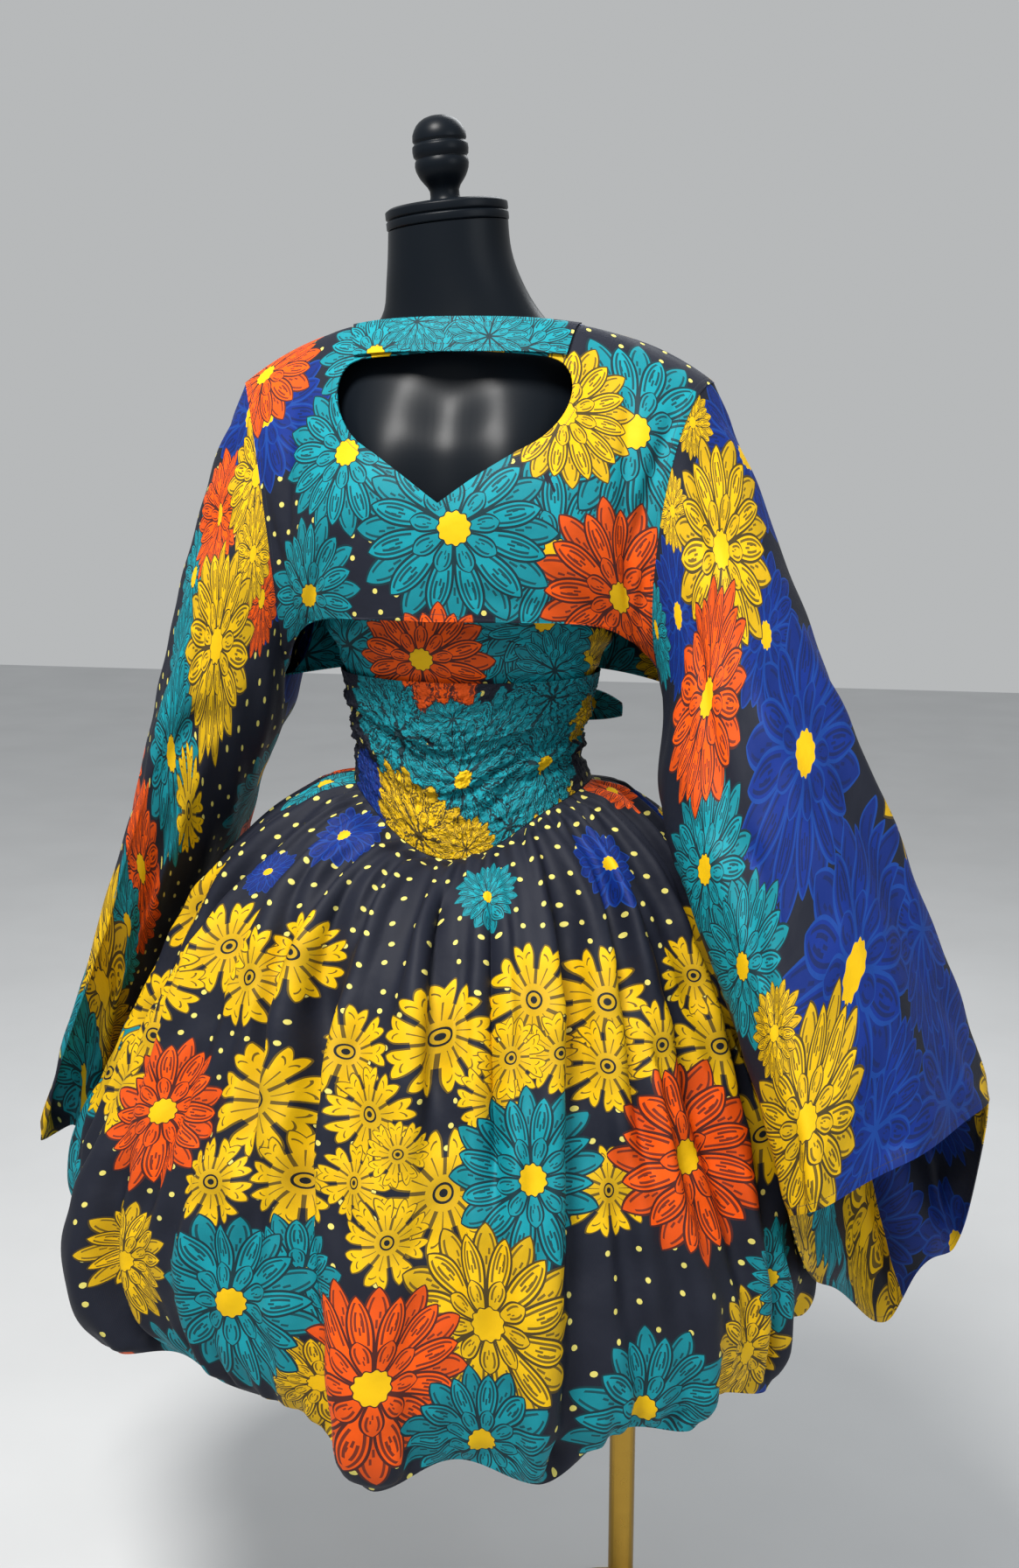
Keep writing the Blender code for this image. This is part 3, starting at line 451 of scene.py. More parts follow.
def form_point(turn, height, clear):
    """A point level with height, clear of the form's surface; turn is in degrees from +X."""
    fine = np.linspace(0.0, 1.0, 800)
    at = np.interp(height, smooth(column(FORM_ROWS, "height"), fine), fine)
    row = {name: smooth(column(FORM_ROWS, name), at) for name in FormRow._fields}
    angle = np.radians(turn)
    depth = np.where(np.sin(angle) < 0, row["front"], row["back"])
    across = (row["half_width"] + clear) * np.cos(angle)
    y = (depth + clear) * np.sin(angle)
    for apex in (-BUST_HALF_SPAN, BUST_HALF_SPAN):
        near = ((across - apex) / BUST_WIDE) ** 2 + ((height - BUST_HEIGHT) / BUST_TALL) ** 2
        y = np.where(y < 0, y - BUST_RISE * np.exp(-near), y)
    return stack(across + row["shift"], y, height)


def armhole(t, depth):
    """The armhole's edge from the underarm, t 0, to the shoulder point, t 1, on the right-hand side."""
    angle = np.pi * (1 - t)
    middle, reach = (SHOULDER_POINT + UNDERARM_POINT) / 2, (SHOULDER_POINT - UNDERARM_POINT) / 2
    point = middle + reach * np.cos(angle)[..., None]
    point[..., 0] -= ARMHOLE_SCOOP * np.sin(angle)
    point[..., 1] = depth * np.sin(angle)
    return point


def shoulder_power(t):
    return HEM_FALL - (HEM_FALL - SHOULDER_FALL) * t


def shoulder_seam(across):
    return FRONT_ROWS[-1].depth * np.cos(np.pi / 2 * np.minimum(across, 1.0)) ** FRONT_ROWS[-1].power


def panel_depth(rows, edge_y, across, rise):
    spread, power = smooth(column(rows, "spread"), rise), smooth(column(rows, "power"), rise)
    share = np.maximum(np.cos(np.pi / 2 * across**spread), 0.0) ** power
    return edge_y + (smooth(column(rows, "depth"), rise) - edge_y) * share


def top_front(s, t):
    """The top's front, s from -1 at the left armhole to 1 at the right, t from hem to neck."""
    edge = armhole(t, -ARMHOLE_DEPTH)
    rise = 0.5 - 0.5 * np.cos(np.pi * t)
    across = np.minimum(np.abs(s), 1.0)
    centre = FRONT_HEM + (NECK_HEIGHT - FRONT_HEM) * rise
    z = centre + (edge[..., 2] - centre) * across ** shoulder_power(t)
    return stack(edge[..., 0] * s, panel_depth(FRONT_ROWS, edge[..., 1], across, rise) - SIDE_GAP, z)


def top_back(s, t):
    """The top's back, s from 1 at the right armhole to -1 at the left, t from hem to neck."""
    edge = armhole(t, ARMHOLE_DEPTH)
    rise = 0.5 - 0.5 * np.cos(np.pi * t)
    across = np.minimum(np.abs(s), 1.0)
    centre = BACK_HEM + (NECK_HEIGHT + BACK_NECK_RISE - BACK_HEM) * rise
    y = panel_depth(BACK_ROWS, edge[..., 1], across, rise)
    fall = BACK_HEM_FALL - (BACK_HEM_FALL - BACK_SHOULDER_FALL) * t
    z = centre + (edge[..., 2] - centre) * across**fall
    seam_z = NECK_HEIGHT + (edge[..., 2] - NECK_HEIGHT) * across ** shoulder_power(t)
    inside = 1 - (np.minimum(across, NECK_SIDE) / NECK_SIDE) ** BACK_NECK_ROUND
    side_y = shoulder_seam(np.array(NECK_SIDE))
    neck_y = side_y + (BACK_ROWS[-1].depth - side_y) * inside**BACK_NECK_REACH
    seam_y = np.where(across < NECK_SIDE, neck_y, shoulder_seam(across))
    seam_z = seam_z + BACK_NECK_RISE * inside
    near_seam = ease((t - BACK_SEAM_FROM) / (1 - BACK_SEAM_FROM))
    return stack(edge[..., 0] * s, y + (seam_y - y) * near_seam + SIDE_GAP, z + (seam_z - z) * near_seam)


def keyhole_places():
    """The keyhole's outline as s and t of the front panel."""
    x, z = np.array(KEYHOLE).T
    low, high = np.full(len(x), 0.2), np.ones(len(x))
    for _ in range(24):
        t = (low + high) / 2
        s = x / armhole(t, 0.0)[..., 0]
        below = top_front(s, t)[..., 2] < z
        low, high = np.where(below, t, low), np.where(below, high, t)
    return s, t


def front_ring(u, v):
    """s and t on the front, u once round from the hem centre, v from the keyhole's edge to the panel's."""
    corners = np.array(((0, 0), (1, 0), (1, 1), (-1, 1), (-1, 0), (0, 0)), float)
    shares = np.array((0, 8, 20, 40, 52, 60)) / 60
    hole_s, hole_t = keyhole_places()
    edge_s = np.interp(u, shares, corners[:, 0])
    edge_t = np.interp(u, shares, corners[:, 1])
    return smooth(hole_s, u) * (1 - v) + edge_s * v, smooth(hole_t, u) * (1 - v) + edge_t * v


def waist_seam(turn):
    off = turn_from(turn, BASQUE_ANGLE)
    side = np.cos(np.radians(turn)) ** 2
    return WAIST_SEAM + SIDE_RISE * side - BASQUE_DROP * np.exp(-((off / BASQUE_SPREAD) ** 2))


def midriff(turn, t):
    height = MIDRIFF_LOW + (MIDRIFF_TOP - MIDRIFF_LOW) * t
    return form_point(turn, height, MIDRIFF_CLEAR)


def sash(turn, t):
    low = waist_seam(turn) + SASH_GAP
    slant = np.radians(turn_from(turn, 0.0)) * SASH_SLANT
    fold = SASH_FOLD * np.sin(2 * np.pi * SASH_FOLDS * t + slant) * np.sin(np.pi * t)
    clear = WAIST_CLEAR + (SASH_TOP_CLEAR - WAIST_CLEAR) * ease((t - SASH_HUG_FROM) / (1 - SASH_HUG_FROM))
    return form_point(turn, low + (SASH_TOP - low) * t, clear + fold)


def sleeve(rows, clear, turn, t):
    """The sleeve, turn from 0 at its outer line through the front and back to 360, t from armhole to hem."""
    angle = np.radians(turn)
    sin = np.sin(angle)[..., None]
    outer, inner = smooth(column(rows, "outer"), t), smooth(column(rows, "inner"), t)
    bulge = np.where(sin > 0, smooth(column(rows, "front"), t), smooth(column(rows, "back"), t))
    wave = 1 + SLEEVE_WAVE * t * np.sin(2 * SLEEVE_LOBES * angle)
    point = (outer + inner) / 2 + (outer - inner) / 2 * np.cos(angle)[..., None]
    point = point + bulge * np.abs(sin) * wave[..., None]
    point[..., 0] += clear
    return point


def skirt(turn, t):
    """The gathered puff skirt, turn in degrees from +X, t from the waist seam to the hem."""
    row = {name: smooth(column(SKIRT_ROWS, name), t) for name in SkirtRow._fields}
    angle = np.radians(turn)
    cos, sin = np.cos(angle), np.sin(angle)
    side = np.where(cos > 0, row["right"], row["left"])
    depth = np.where(sin < 0, row["front"], row["back"])
    out, drop = np.zeros_like(turn), np.zeros_like(turn)
    for f in (Fold(*row) for row in FOLDS):
        share = np.exp(-(np.abs(turn_from(turn, f.angle) / f.half_angle) ** 1.7))
        out, drop = out + f.depth * share, drop + f.drop * share
    push = row["fold"] * out + row["gather"] * np.cos(GATHERS * angle)
    seam = waist_seam(turn)
    z = row["height"] + (seam - WAIST_SEAM) * (1 - t) ** 3 - (drop - HEM_RISE) * row["fold"] ** 5
    free = stack((side + push) * cos, (depth + push) * sin, z)
    sewn = form_point(turn, seam, WAIST_CLEAR)
    return sewn + (free - sewn) * ease(t / SEAM_SPAN)[..., None]


# Folds and creases, as heights above the smooth surface

def waves(u, v, seed, scale, count=7, stretch=1.0):
    """Soft uneven ripples, -1 to 1, about scale metres wide; stretch lengthens them along v."""
    pick = np.random.default_rng(seed)
    total = np.zeros(np.broadcast(u, v).shape)
    for _ in range(count):
        heading = pick.uniform(0, 2 * np.pi)
        size = pick.uniform(0.7, 1.6) / scale
        bend = 0.6 * np.sin(pick.uniform(1, 3) * (u + v) / scale + pick.uniform(0, 6))
        total += np.sin(2 * np.pi * size * (u * np.cos(heading) + v * np.sin(heading) / stretch) + bend
                        + pick.uniform(0, 6))
    return total / count**0.5 / 1.4


def ridges(u, v, seed, scale, stretch=1.0):
    """Sharper creases: narrow valleys between rounded swells, 0 to 1."""
    return 1 - np.abs(waves(u, v, seed, scale, stretch=stretch)) ** 0.7


Crease = namedtuple("Crease", "u v length angle depth width")


def creases(u, v, table):
    """Each crease is a soft trough, or a ridge where its depth is negative, along a short line."""
    height = np.zeros(np.broadcast(u, v).shape)
    for c in (Crease(*row) for row in table):
        angle = math.radians(c.angle)
        along = (u - c.u) * math.cos(angle) + (v - c.v) * math.sin(angle)
        beside = (v - c.v) * math.cos(angle) - (u - c.u) * math.sin(angle)
        beside = beside + 0.12 * along**2 / c.length
        height -= c.depth * np.exp(-((beside / c.width) ** 2) - (along / (0.6 * c.length)) ** 4)
    return height


Gutter = namedtuple("Gutter", "u_top u_low v_top v_low depth width")


def gutters(u, v, table):
    """Long soft valleys that run down the cloth, each with a lower swell on both sides."""
    height = np.zeros(np.broadcast(u, v).shape)
    for g in (Gutter(*row) for row in table):
        share = (v - g.v_top) / (g.v_low - g.v_top)
        off = (u - g.u_top - (g.u_low - g.u_top) * np.clip(share, 0, 1)) / g.width
        valley = np.exp(-(off**2)) - 0.35 * np.exp(-((np.abs(off) - 2.0) ** 2))
        height -= g.depth * valley * ease(share / 0.25) * ease((1 - share) / 0.20)
    return height


SKIRT_GUTTERS = {
    "print_skirt_front": (
        (-0.172, -0.046, 0.04, 0.70, 0.021, 0.017), (0.234, 0.141, 0.05, 0.70, 0.018, 0.016),
        (-0.421, -0.319, 0.06, 0.68, 0.017, 0.017), (0.510, 0.383, 0.05, 0.68, 0.018, 0.017),
        (0.094, 0.094, 0.03, 0.38, 0.012, 0.012), (-0.264, -0.162, 0.05, 0.42, 0.013, 0.013),
        (0.000, 0.030, 0.04, 0.30, 0.010, 0.011), (0.330, 0.262, 0.04, 0.38, 0.012, 0.013),
        (-0.535, -0.470, 0.04, 0.54, 0.013, 0.015),
    ),
    "print_skirt_back": (
        (-0.470, -0.400, 0.04, 0.66, 0.016, 0.016), (-0.300, -0.250, 0.04, 0.44, 0.012, 0.014),
        (-0.180, -0.120, 0.05, 0.70, 0.019, 0.017), (-0.030, -0.010, 0.03, 0.34, 0.011, 0.012),
        (0.110, 0.080, 0.04, 0.68, 0.018, 0.017), (0.260, 0.210, 0.05, 0.46, 0.012, 0.013),
        (0.400, 0.350, 0.04, 0.68, 0.017, 0.016), (0.540, 0.480, 0.05, 0.56, 0.012, 0.015),
    ),
}


# Cloth pieces

def normals(points, closed):
    if closed:
        along_u = np.roll(points, -1, axis=1) - np.roll(points, 1, axis=1)
    else:
        along_u = np.gradient(points, axis=1)
    out = np.cross(along_u, np.gradient(points, axis=0))
    return out / np.maximum(np.linalg.norm(out, axis=-1, keepdims=True), 1e-12)


def tag_vector(mesh, name, values):
    made = mesh.attributes.new(name, "FLOAT_VECTOR", "CORNER")
    made.data.foreach_set("vector", values.astype(np.float32).ravel())


def tag_blooms(mesh, corners, blooms, gathered):
    """Writes the three topmost flowers that reach each face: every corner's place in one, and its tint.

    gathered gives how much narrower the drawn-in cloth is than the flat cloth, by v, so that the
    flowers, which show between the gathers, stay nearly round.
    """
    faces = len(corners)
    middle = corners.mean(axis=1)
    reach = np.linalg.norm(corners - middle[:, None], axis=-1).max(axis=1)
    filled = np.zeros(faces, int)
    local = np.zeros((3, faces, 4, 3))
    tints = np.zeros((3, faces, 4, 4))
    for bloom in reversed(blooms):
        here = np.array((bloom.u, bloom.v))
        narrow = np.array((np.interp(bloom.v, *gathered) ** 0.75 / bloom.wide, 1.0))
        near = np.linalg.norm((middle - here) * narrow, axis=-1) < bloom.radius + reach
        hit = near & (filled < 3)
        index = np.nonzero(hit)[0]
        if not len(index):
            continue
        spot = (corners[index] - here) * narrow / bloom.radius
        angle = math.radians(bloom.turn)
        turned = np.stack((spot[..., 0] * math.cos(angle) - spot[..., 1] * math.sin(angle),
                           spot[..., 0] * math.sin(angle) + spot[..., 1] * math.cos(angle),
                           np.full(spot.shape[:2], kind_of(bloom.tint))), axis=-1)
        local[filled[index], index] = turned
        tints[filled[index], index] = (*tint_of(bloom.tint), 1.0)
        filled[index] += 1
    for layer in range(3):
        tag_vector(mesh, f"bloom_{layer}", local[layer])
        tint = mesh.attributes.new(f"tint_{layer}", "FLOAT_COLOR", "CORNER")
        tint.data.foreach_set("color", tints[layer].astype(np.float32).ravel())


def kind_of(tint):
    """1 for a large flower, 1.3 for one without its eye, 2 for a daisy."""
    if tint == "daisy":
        return 2.0
    return 1.3 if tint.endswith("*") else 1.0


def tint_of(name):
    colours = bpy.context.scene.dress_colours
    return getattr(colours, "yellow" if name == "daisy" else name.strip("*"))[:]


PLAIN = ((0.0, 1.0), (1.0, 1.0))


def cloth_object(name, points, cloth, closed=False, side=1.0, height=None, thick=None, style="dotted",
                 gathered=PLAIN, dots=None, sewn=None):
    """A cloth shell through a grid of points.

    cloth holds each grid point's place on the flat panel, dots its place in the field of dots, and
    sewn its distance from the nearest stitched edge with the length along that edge.
    """
    sizes = bpy.context.scene.dress_sizes
    thick = thick or sizes.cloth_thickness
    points = points + np.array((FORM_OFFSET, 0.0, 0.0))
    out = normals(points, closed) * side
    if height is not None:
        points = points + out * (height * sizes.crease_depth)[..., None]
        out = normals(points, closed) * side
    rows, wide = points.shape[:2]
    verts = np.concatenate((points.reshape(-1, 3), (points - out * thick).reshape(-1, 3)))
    steps = wide if closed else wide - 1
    r, c = np.mgrid[0:rows - 1, 0:steps]
    beyond = (c + 1) % wide
    quad = np.stack((r * wide + c, r * wide + beyond, (r + 1) * wide + beyond, (r + 1) * wide + c), -1)
    where = np.stack((np.stack((r, c), -1), np.stack((r, c + 1), -1), np.stack((r + 1, c + 1), -1),
                      np.stack((r + 1, c), -1)), -2)
    quad, where = quad.reshape(-1, 4), where.reshape(-1, 4, 2)
    inner = rows * wide
    faces = [quad, quad[:, ::-1] + inner]
    spots = [where, where[:, ::-1]]

    def rim(first, second, first_at, second_at):
        faces.append(np.stack((second, first, first + inner, second + inner), -1))
        spots.append(np.stack((second_at, first_at, first_at, second_at), -2))

    c = np.arange(steps)
    for row, flip in ((0, False), (rows - 1, True)):
        a, b = row * wide + c, row * wide + (c + 1) % wide
        at_a, at_b = (np.stack((np.full(steps, row), col), -1) for col in (c, c + 1))
        rim(*((b, a, at_b, at_a) if flip else (a, b, at_a, at_b)))
    if not closed:
        r = np.arange(rows - 1)
        for col, flip in ((0, True), (wide - 1, False)):
            a, b = r * wide + col, (r + 1) * wide + col
            at_a, at_b = (np.stack((row, np.full(rows - 1, col)), -1) for row in (r, r + 1))
            rim(*((b, a, at_b, at_a) if flip else (a, b, at_a, at_b)))
    faces, spots = np.concatenate(faces), np.concatenate(spots)
    if side < 0:
        faces, spots = faces[:, ::-1], spots[:, ::-1]
    corners = cloth[spots[..., 0], spots[..., 1]]
    mesh = bpy.data.meshes.new(name)
    mesh.from_pydata(verts.tolist(), [], faces.tolist())
    layer = mesh.uv_layers.new(name="cloth")
    layer.data.foreach_set("uv", corners.astype(np.float32).ravel())
    tag_blooms(mesh, corners, all_blooms(name), gathered)
    if dots is None:
        dots = np.concatenate((cloth, np.ones((*cloth.shape[:2], 1))), axis=-1)
    tag_vector(mesh, "dots", dots[spots[..., 0], spots[..., 1]])
    if sewn is None:
        sewn = np.ones((*cloth.shape[:2], 2))
    edge = sewn[spots[..., 0], spots[..., 1]]
    tag_vector(mesh, "sewn", np.concatenate((edge, np.zeros((*edge.shape[:2], 1))), axis=-1))
    mesh.shade_smooth()
    mesh.set_sharp_from_angle(angle=math.radians(60))
    made = bpy.data.objects.new(name, mesh)
    bpy.context.scene.collection.objects.link(made)
    mesh.materials.append(wax_print(style))
    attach(made, "root")
    return made


def walked(points, axis):
    """The length walked over a grid of points to each of them, along one axis."""
    steps = np.cumsum(np.linalg.norm(np.diff(points, axis=axis), axis=-1), axis=axis)
    return np.concatenate((np.zeros_like(np.take(steps, (0,), axis=axis)), steps), axis=axis)


def run_lengths(points, middle):
    """Each grid point's place on the flat cloth: along its row from the middle column, down its column."""
    u = walked(points, 1)
    return np.stack((u - u[:, middle:middle + 1], walked(points, 0)), -1)


def edges_of(points, bottom=False, top=False):
    """For a grid of points, the distance from its stitched first or last row and the length along it."""
    down = walked(points, 0)
    away = np.ones_like(down)
    if bottom:
        away = np.minimum(away, down)
    if top:
        away = np.minimum(away, down[-1:] - down)
    return np.stack((away, walked(points, 1)), -1)


def grid(across, down):
    return np.meshgrid(across, down)


def top_cloth(surface, s, t):
    """Places on the top's flat panel: along from its middle, and up from the level of the front's hem."""
    points = surface(*grid(np.linspace(-1, 1, 81), np.linspace(0, 1, 61)))
    flat = run_lengths(points, 40)
    flat[..., 1] += points[:1, :, 2] - FRONT_HEM
    down, along = np.clip(t, 0, 1) * 60, (np.clip(s, -1, 1) + 1) * 40
    r, c = np.minimum(down.astype(int), 59), np.minimum(along.astype(int), 79)
    f, g = (down - r)[..., None], (along - c)[..., None]
    near = flat[r, c] * (1 - g) + flat[r, c + 1] * g
    far = flat[r + 1, c] * (1 - g) + flat[r + 1, c + 1] * g
    return near * (1 - f) + far * f


def front_grid():
    u, v = grid(np.linspace(0, 1, 241), np.linspace(0, 1, 44))
    s, t = front_ring(u, v)
    return v, top_front(s, t), top_cloth(top_front, s, t)


def back_grid():
    s, t = grid(np.linspace(1, -1, 140), np.linspace(0, 1, 100))
    return s, t, top_back(s, t), top_cloth(top_back, s, t)


def band_grid():
    s, t = grid(np.linspace(-1, 1, 120), np.linspace(0, 1, 20))
    low = BAND_LOW + (1 - BAND_LOW) * t
    base = top_front(s * NECK_SIDE, low)
    out = normals(base, False)
    lean = ease((low - 0.80) / 0.20)[..., None]
    out = out * (1 - lean) + np.array((0.0, 0.0, 1.0)) * lean
    points = base + out / np.linalg.norm(out, axis=-1, keepdims=True) * BAND_CLEAR
    return points, run_lengths(points, 60)


def midriff_grid(low, high):
    turn, t = grid(np.linspace(low, high, 150), np.linspace(0, 1, 34))
    points = midriff(turn, t)
    return turn, t, points, run_lengths(points, 75)


def sash_grid():
    turn, t = grid(np.linspace(90.0, 450.0, 421), np.linspace(0, 1, 76))
    points = sash(turn, t)
    return t, points, run_lengths(points, 210)


def sleeve_grid(rows, clear):
    turn, t = grid(np.linspace(-90, 270, 181), np.linspace(0, 1, 120))
    points = sleeve(rows, clear, turn, t)
    return turn, t, points, run_lengths(points, 90)


def skirt_grid(low, high):
    steps = np.linspace(0, 1, 200)
    lengths = walked(skirt(np.full(200, 240.0), steps), 0)
    turn, t = grid(np.linspace(low, high, 360), np.linspace(0, 1, 110))
    u = (turn - (low + high) / 2) / 360 * SKIRT_FLAT_WIDTH
    return turn, t, skirt(turn, t), np.stack((u, np.interp(t, steps, lengths)), -1)


def build_top():
    v, points, cloth = front_grid()
    x, z = cloth[..., 0], cloth[..., 1]
    edge = ease(v / 0.12) * ease((1 - v) / 0.10)
    height = (0.0020 * waves(x, z, 3, 0.12) + creases(x, z, TOP_CREASES)) * edge
    front = cloth_object("print_top_front", points[:, :-1], cloth, closed=True, side=-1.0,
                         height=height[:, :-1], sewn=edges_of(points, bottom=True, top=True))
    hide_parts("top_front")
    s, t, points, cloth = back_grid()
    x, z = cloth[..., 0], cloth[..., 1]
    edge = ease(t / 0.06) * ease((1 - t) / 0.10) * ease((1 - np.abs(s)) / 0.08)
    height = (0.0022 * waves(x, z, 5, 0.14, stretch=2.0) + creases(x, z, BACK_CREASES)) * edge
    back = cloth_object("print_top_back", points, cloth, height=height,
                        sewn=edges_of(points, bottom=True, top=True))
    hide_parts("top_back")
    points, cloth = band_grid()
    band = cloth_object("print_neck_band", points, cloth, thick=TIGHT_CLOTH,
                        sewn=edges_of(points, bottom=True, top=True))
    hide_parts("neck_band")


TOP_CREASES = (
    (-0.150, 0.030, 0.10, 60.0, 0.0030, 0.012), (-0.120, 0.060, 0.09, 35.0, 0.0022, 0.010),
    (0.150, 0.040, 0.11, 118.0, 0.0035, 0.012), (0.175, 0.100, 0.10, 105.0, 0.0030, 0.011),
    (0.120, 0.030, 0.08, 150.0, 0.0024, 0.010), (-0.190, 0.110, 0.10, 78.0, 0.0026, 0.011),
    (0.196, 0.120, 0.17, 84.0, 0.0070, 0.0090), (0.172, 0.150, 0.14, 98.0, 0.0050, 0.0080),
    (0.218, 0.060, 0.14, 76.0, 0.0060, 0.0100), (-0.206, 0.060, 0.14, 102.0, 0.0045, 0.0090),
    (-0.180, 0.150, 0.12, 80.0, 0.0035, 0.0090), (0.060, 0.020, 0.09, 172.0, 0.0016, 0.0080),
)
BACK_CREASES = (
    (-0.120, 0.040, 0.16, 100.0, 0.0035, 0.014), (0.110, 0.050, 0.16, 80.0, 0.0035, 0.014),
    (0.020, -0.020, 0.10, 92.0, 0.0028, 0.016), (-0.060, 0.190, 0.12, 8.0, 0.0022, 0.012),
)
SASH_CREASES = (
    (0.072, 0.060, 0.16, -3.0, 0.0064, 0.0050), (0.085, 0.034, 0.16, -2.0, 0.0052, 0.0045),
    (0.046, 0.040, 0.08, 22.0, 0.0052, 0.0040), (0.110, 0.078, 0.12, -5.0, 0.0030, 0.0040),
    (-0.070, 0.090, 0.12, 5.0, 0.0026, 0.0045), (0.280, 0.060, 0.20, 4.0, 0.0036, 0.0045),
    (-0.260, 0.070, 0.20, -4.0, 0.0036, 0.0045),
)
MIDRIFF_CREASES = (
    (0.070, 0.062, 0.16, -24.0, 0.0042, 0.0055), (0.085, 0.085, 0.15, -32.0, 0.0042, 0.0060),
    (0.095, 0.040, 0.13, -14.0, 0.0024, 0.0055), (-0.090, 0.070, 0.12, 28.0, 0.0022, 0.0060),
    (-0.110, 0.090, 0.10, 40.0, 0.0022, 0.0060), (-0.030, 0.048, 0.10, 10.0, 0.0018, 0.0050),
)


def build_waist():
    for name, low, high, node in (("print_midriff_front", 180.1, 359.9, "midriff_front"),
                                  ("print_midriff_back", 0.1, 179.9, "midriff_back")):
        turn, t, points, cloth = midriff_grid(low, high)
        u, v = cloth[..., 0], cloth[..., 1]
        fan = np.radians(turn_from(turn, 0.0))
        drape = 0.0028 * (1 + np.sin(13.0 * t + 2.6 * fan + 1.1 * waves(u, v, 11, 0.10)))
        drape += 0.0012 * ridges(u + 0.5 * v, 2.5 * v + 0.8 * u, 13, 0.06)
        if node == "midriff_front":
            drape += creases(u, v, MIDRIFF_CREASES)
        edge = ease((t - 0.24) / 0.14) * ease((1 - t) / 0.08)
        piece = cloth_object(name, points, cloth, height=drape * edge, thick=TIGHT_CLOTH)
        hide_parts(node)
    t, points, cloth = sash_grid()
    u, v = cloth[..., 0], cloth[..., 1]
    loose = np.sin(np.pi * t) ** 0.5
    crinkle = SASH_DRAPE * (ridges(u, v * 4.0 + 0.4 * u, 21, 0.11) - 0.5)
    crinkle += SASH_RIPPLE * waves(u, v * 1.6, 23, 0.018, count=9)
    crinkle += SASH_CRUMPLE * (ridges(u * 1.3, v * 1.7, 27, 0.0105) - 0.5)
    crinkle += creases(u, v, SASH_CREASES)
    wrap = cloth_object("print_sash", points[:, :-1], cloth, closed=True, height=(crinkle * loose)[:, :-1],
                        style="crinkled")
    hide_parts("waist_sash")
    for name, node, root, tip, drop, lift in (
        ("print_tie_right", "tie_right", (0.0209, -0.002, 0.004), (0.146, 0.060, 1.096), -0.004, 0.022),
        ("print_tie_left", "tie_left", (-0.0217, -0.002, -0.004), (-0.110, 0.150, 1.040), -0.012, 0.020),
    ):
        u, t = grid(np.linspace(-1, 1, 24), np.linspace(0, 0.96, 50))
        start, end = TIE_ROOT + np.array(root), np.array(tip)
        line = start + (end - start) * t[..., None]
        line[..., 2] -= drop * 4 * t * (1 - t)
        line[..., 1] += lift * np.sin(np.pi * t) + 0.006 * (1 - u * u)
        half = TIE_WIDTH * (0.34 + 1.1 * t - 1.25 * t**3)
        points = line + half[..., None] * stack(0.0 * u, 0.12 * u * u, u)
        cloth = run_lengths(points, 12)
        fold = 0.0016 * np.sin(7.0 * u) * (1 - t)
        piece = cloth_object(name, points, cloth, height=fold, thick=TIGHT_CLOTH)
        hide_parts(node)
    build_knot()


def build_knot():
    """The tied knot: a rounded, faintly rippled lump of cloth, pinched round its middle."""
    turn, t = grid(np.linspace(0, 2 * np.pi, 65)[:-1], np.linspace(0.02, 0.98, 40))
    ring = np.sin(np.pi * t)
    swell = 1 + 0.05 * np.sin(9 * turn + 5 * t) * ring - 0.10 * np.exp(-(((t - 0.5) / 0.06) ** 2))
    around = ring * swell
    lump = stack(around * np.cos(turn), around * np.sin(turn), -np.cos(np.pi * t))
    points = TIE_ROOT + lump * KNOT_SIZE
    wide = np.concatenate((turn, np.full((40, 1), 2 * np.pi)), axis=1)
    cloth = np.stack((wide * 0.02, np.repeat(t[:, :1], 65, axis=1) * 0.06), -1)
    knot = cloth_object("print_sash_knot", points, cloth, closed=True, thick=TIGHT_CLOTH)
    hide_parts("sash_knot")


SLEEVE_CREASES = {
    "sleeve_right": (
        (-0.070, 0.090, 0.16, 62.0, 0.0040, 0.010), (0.010, 0.140, 0.14, 75.0, 0.0045, 0.011),
        (0.050, 0.230, 0.12, 118.0, 0.0040, 0.010), (0.040, 0.330, 0.20, 78.0, 0.0060, 0.014),
        (-0.060, 0.380, 0.30, 84.0, 0.0060, 0.016), (-0.150, 0.420, 0.30, 92.0, -0.0050, 0.018),
        (0.090, 0.470, 0.18, 70.0, 0.0050, 0.013), (-0.010, 0.560, 0.20, 86.0, 0.0060, 0.016),
        (-0.240, 0.500, 0.34, 96.0, 0.0070, 0.018), (0.300, 0.500, 0.34, 84.0, 0.0070, 0.018),
        (0.420, 0.620, 0.34, 80.0, 0.0070, 0.020), (-0.380, 0.640, 0.34, 98.0, 0.0070, 0.020),
    ),
    "sleeve_left": (
        (-0.120, 0.060, 0.12, 60.0, 0.0035, 0.009), (-0.040, 0.110, 0.12, 55.0, 0.0045, 0.010),
        (0.030, 0.160, 0.12, 120.0, 0.0050, 0.010), (0.010, 0.210, 0.10, 100.0, 0.0040, 0.009),
        (-0.050, 0.300, 0.26, 84.0, 0.0060, 0.013), (0.040, 0.400, 0.30, 80.0, 0.0060, 0.014),
        (-0.010, 0.580, 0.30, 88.0, 0.0070, 0.016), (0.160, 0.520, 0.34, 84.0, 0.0060, 0.016),
        (-0.160, 0.560, 0.34, 94.0, 0.0060, 0.016), (0.270, 0.420, 0.30, 82.0, 0.0060, 0.015),
        (-0.270, 0.450, 0.30, 96.0, 0.0060, 0.015),
    ),
}


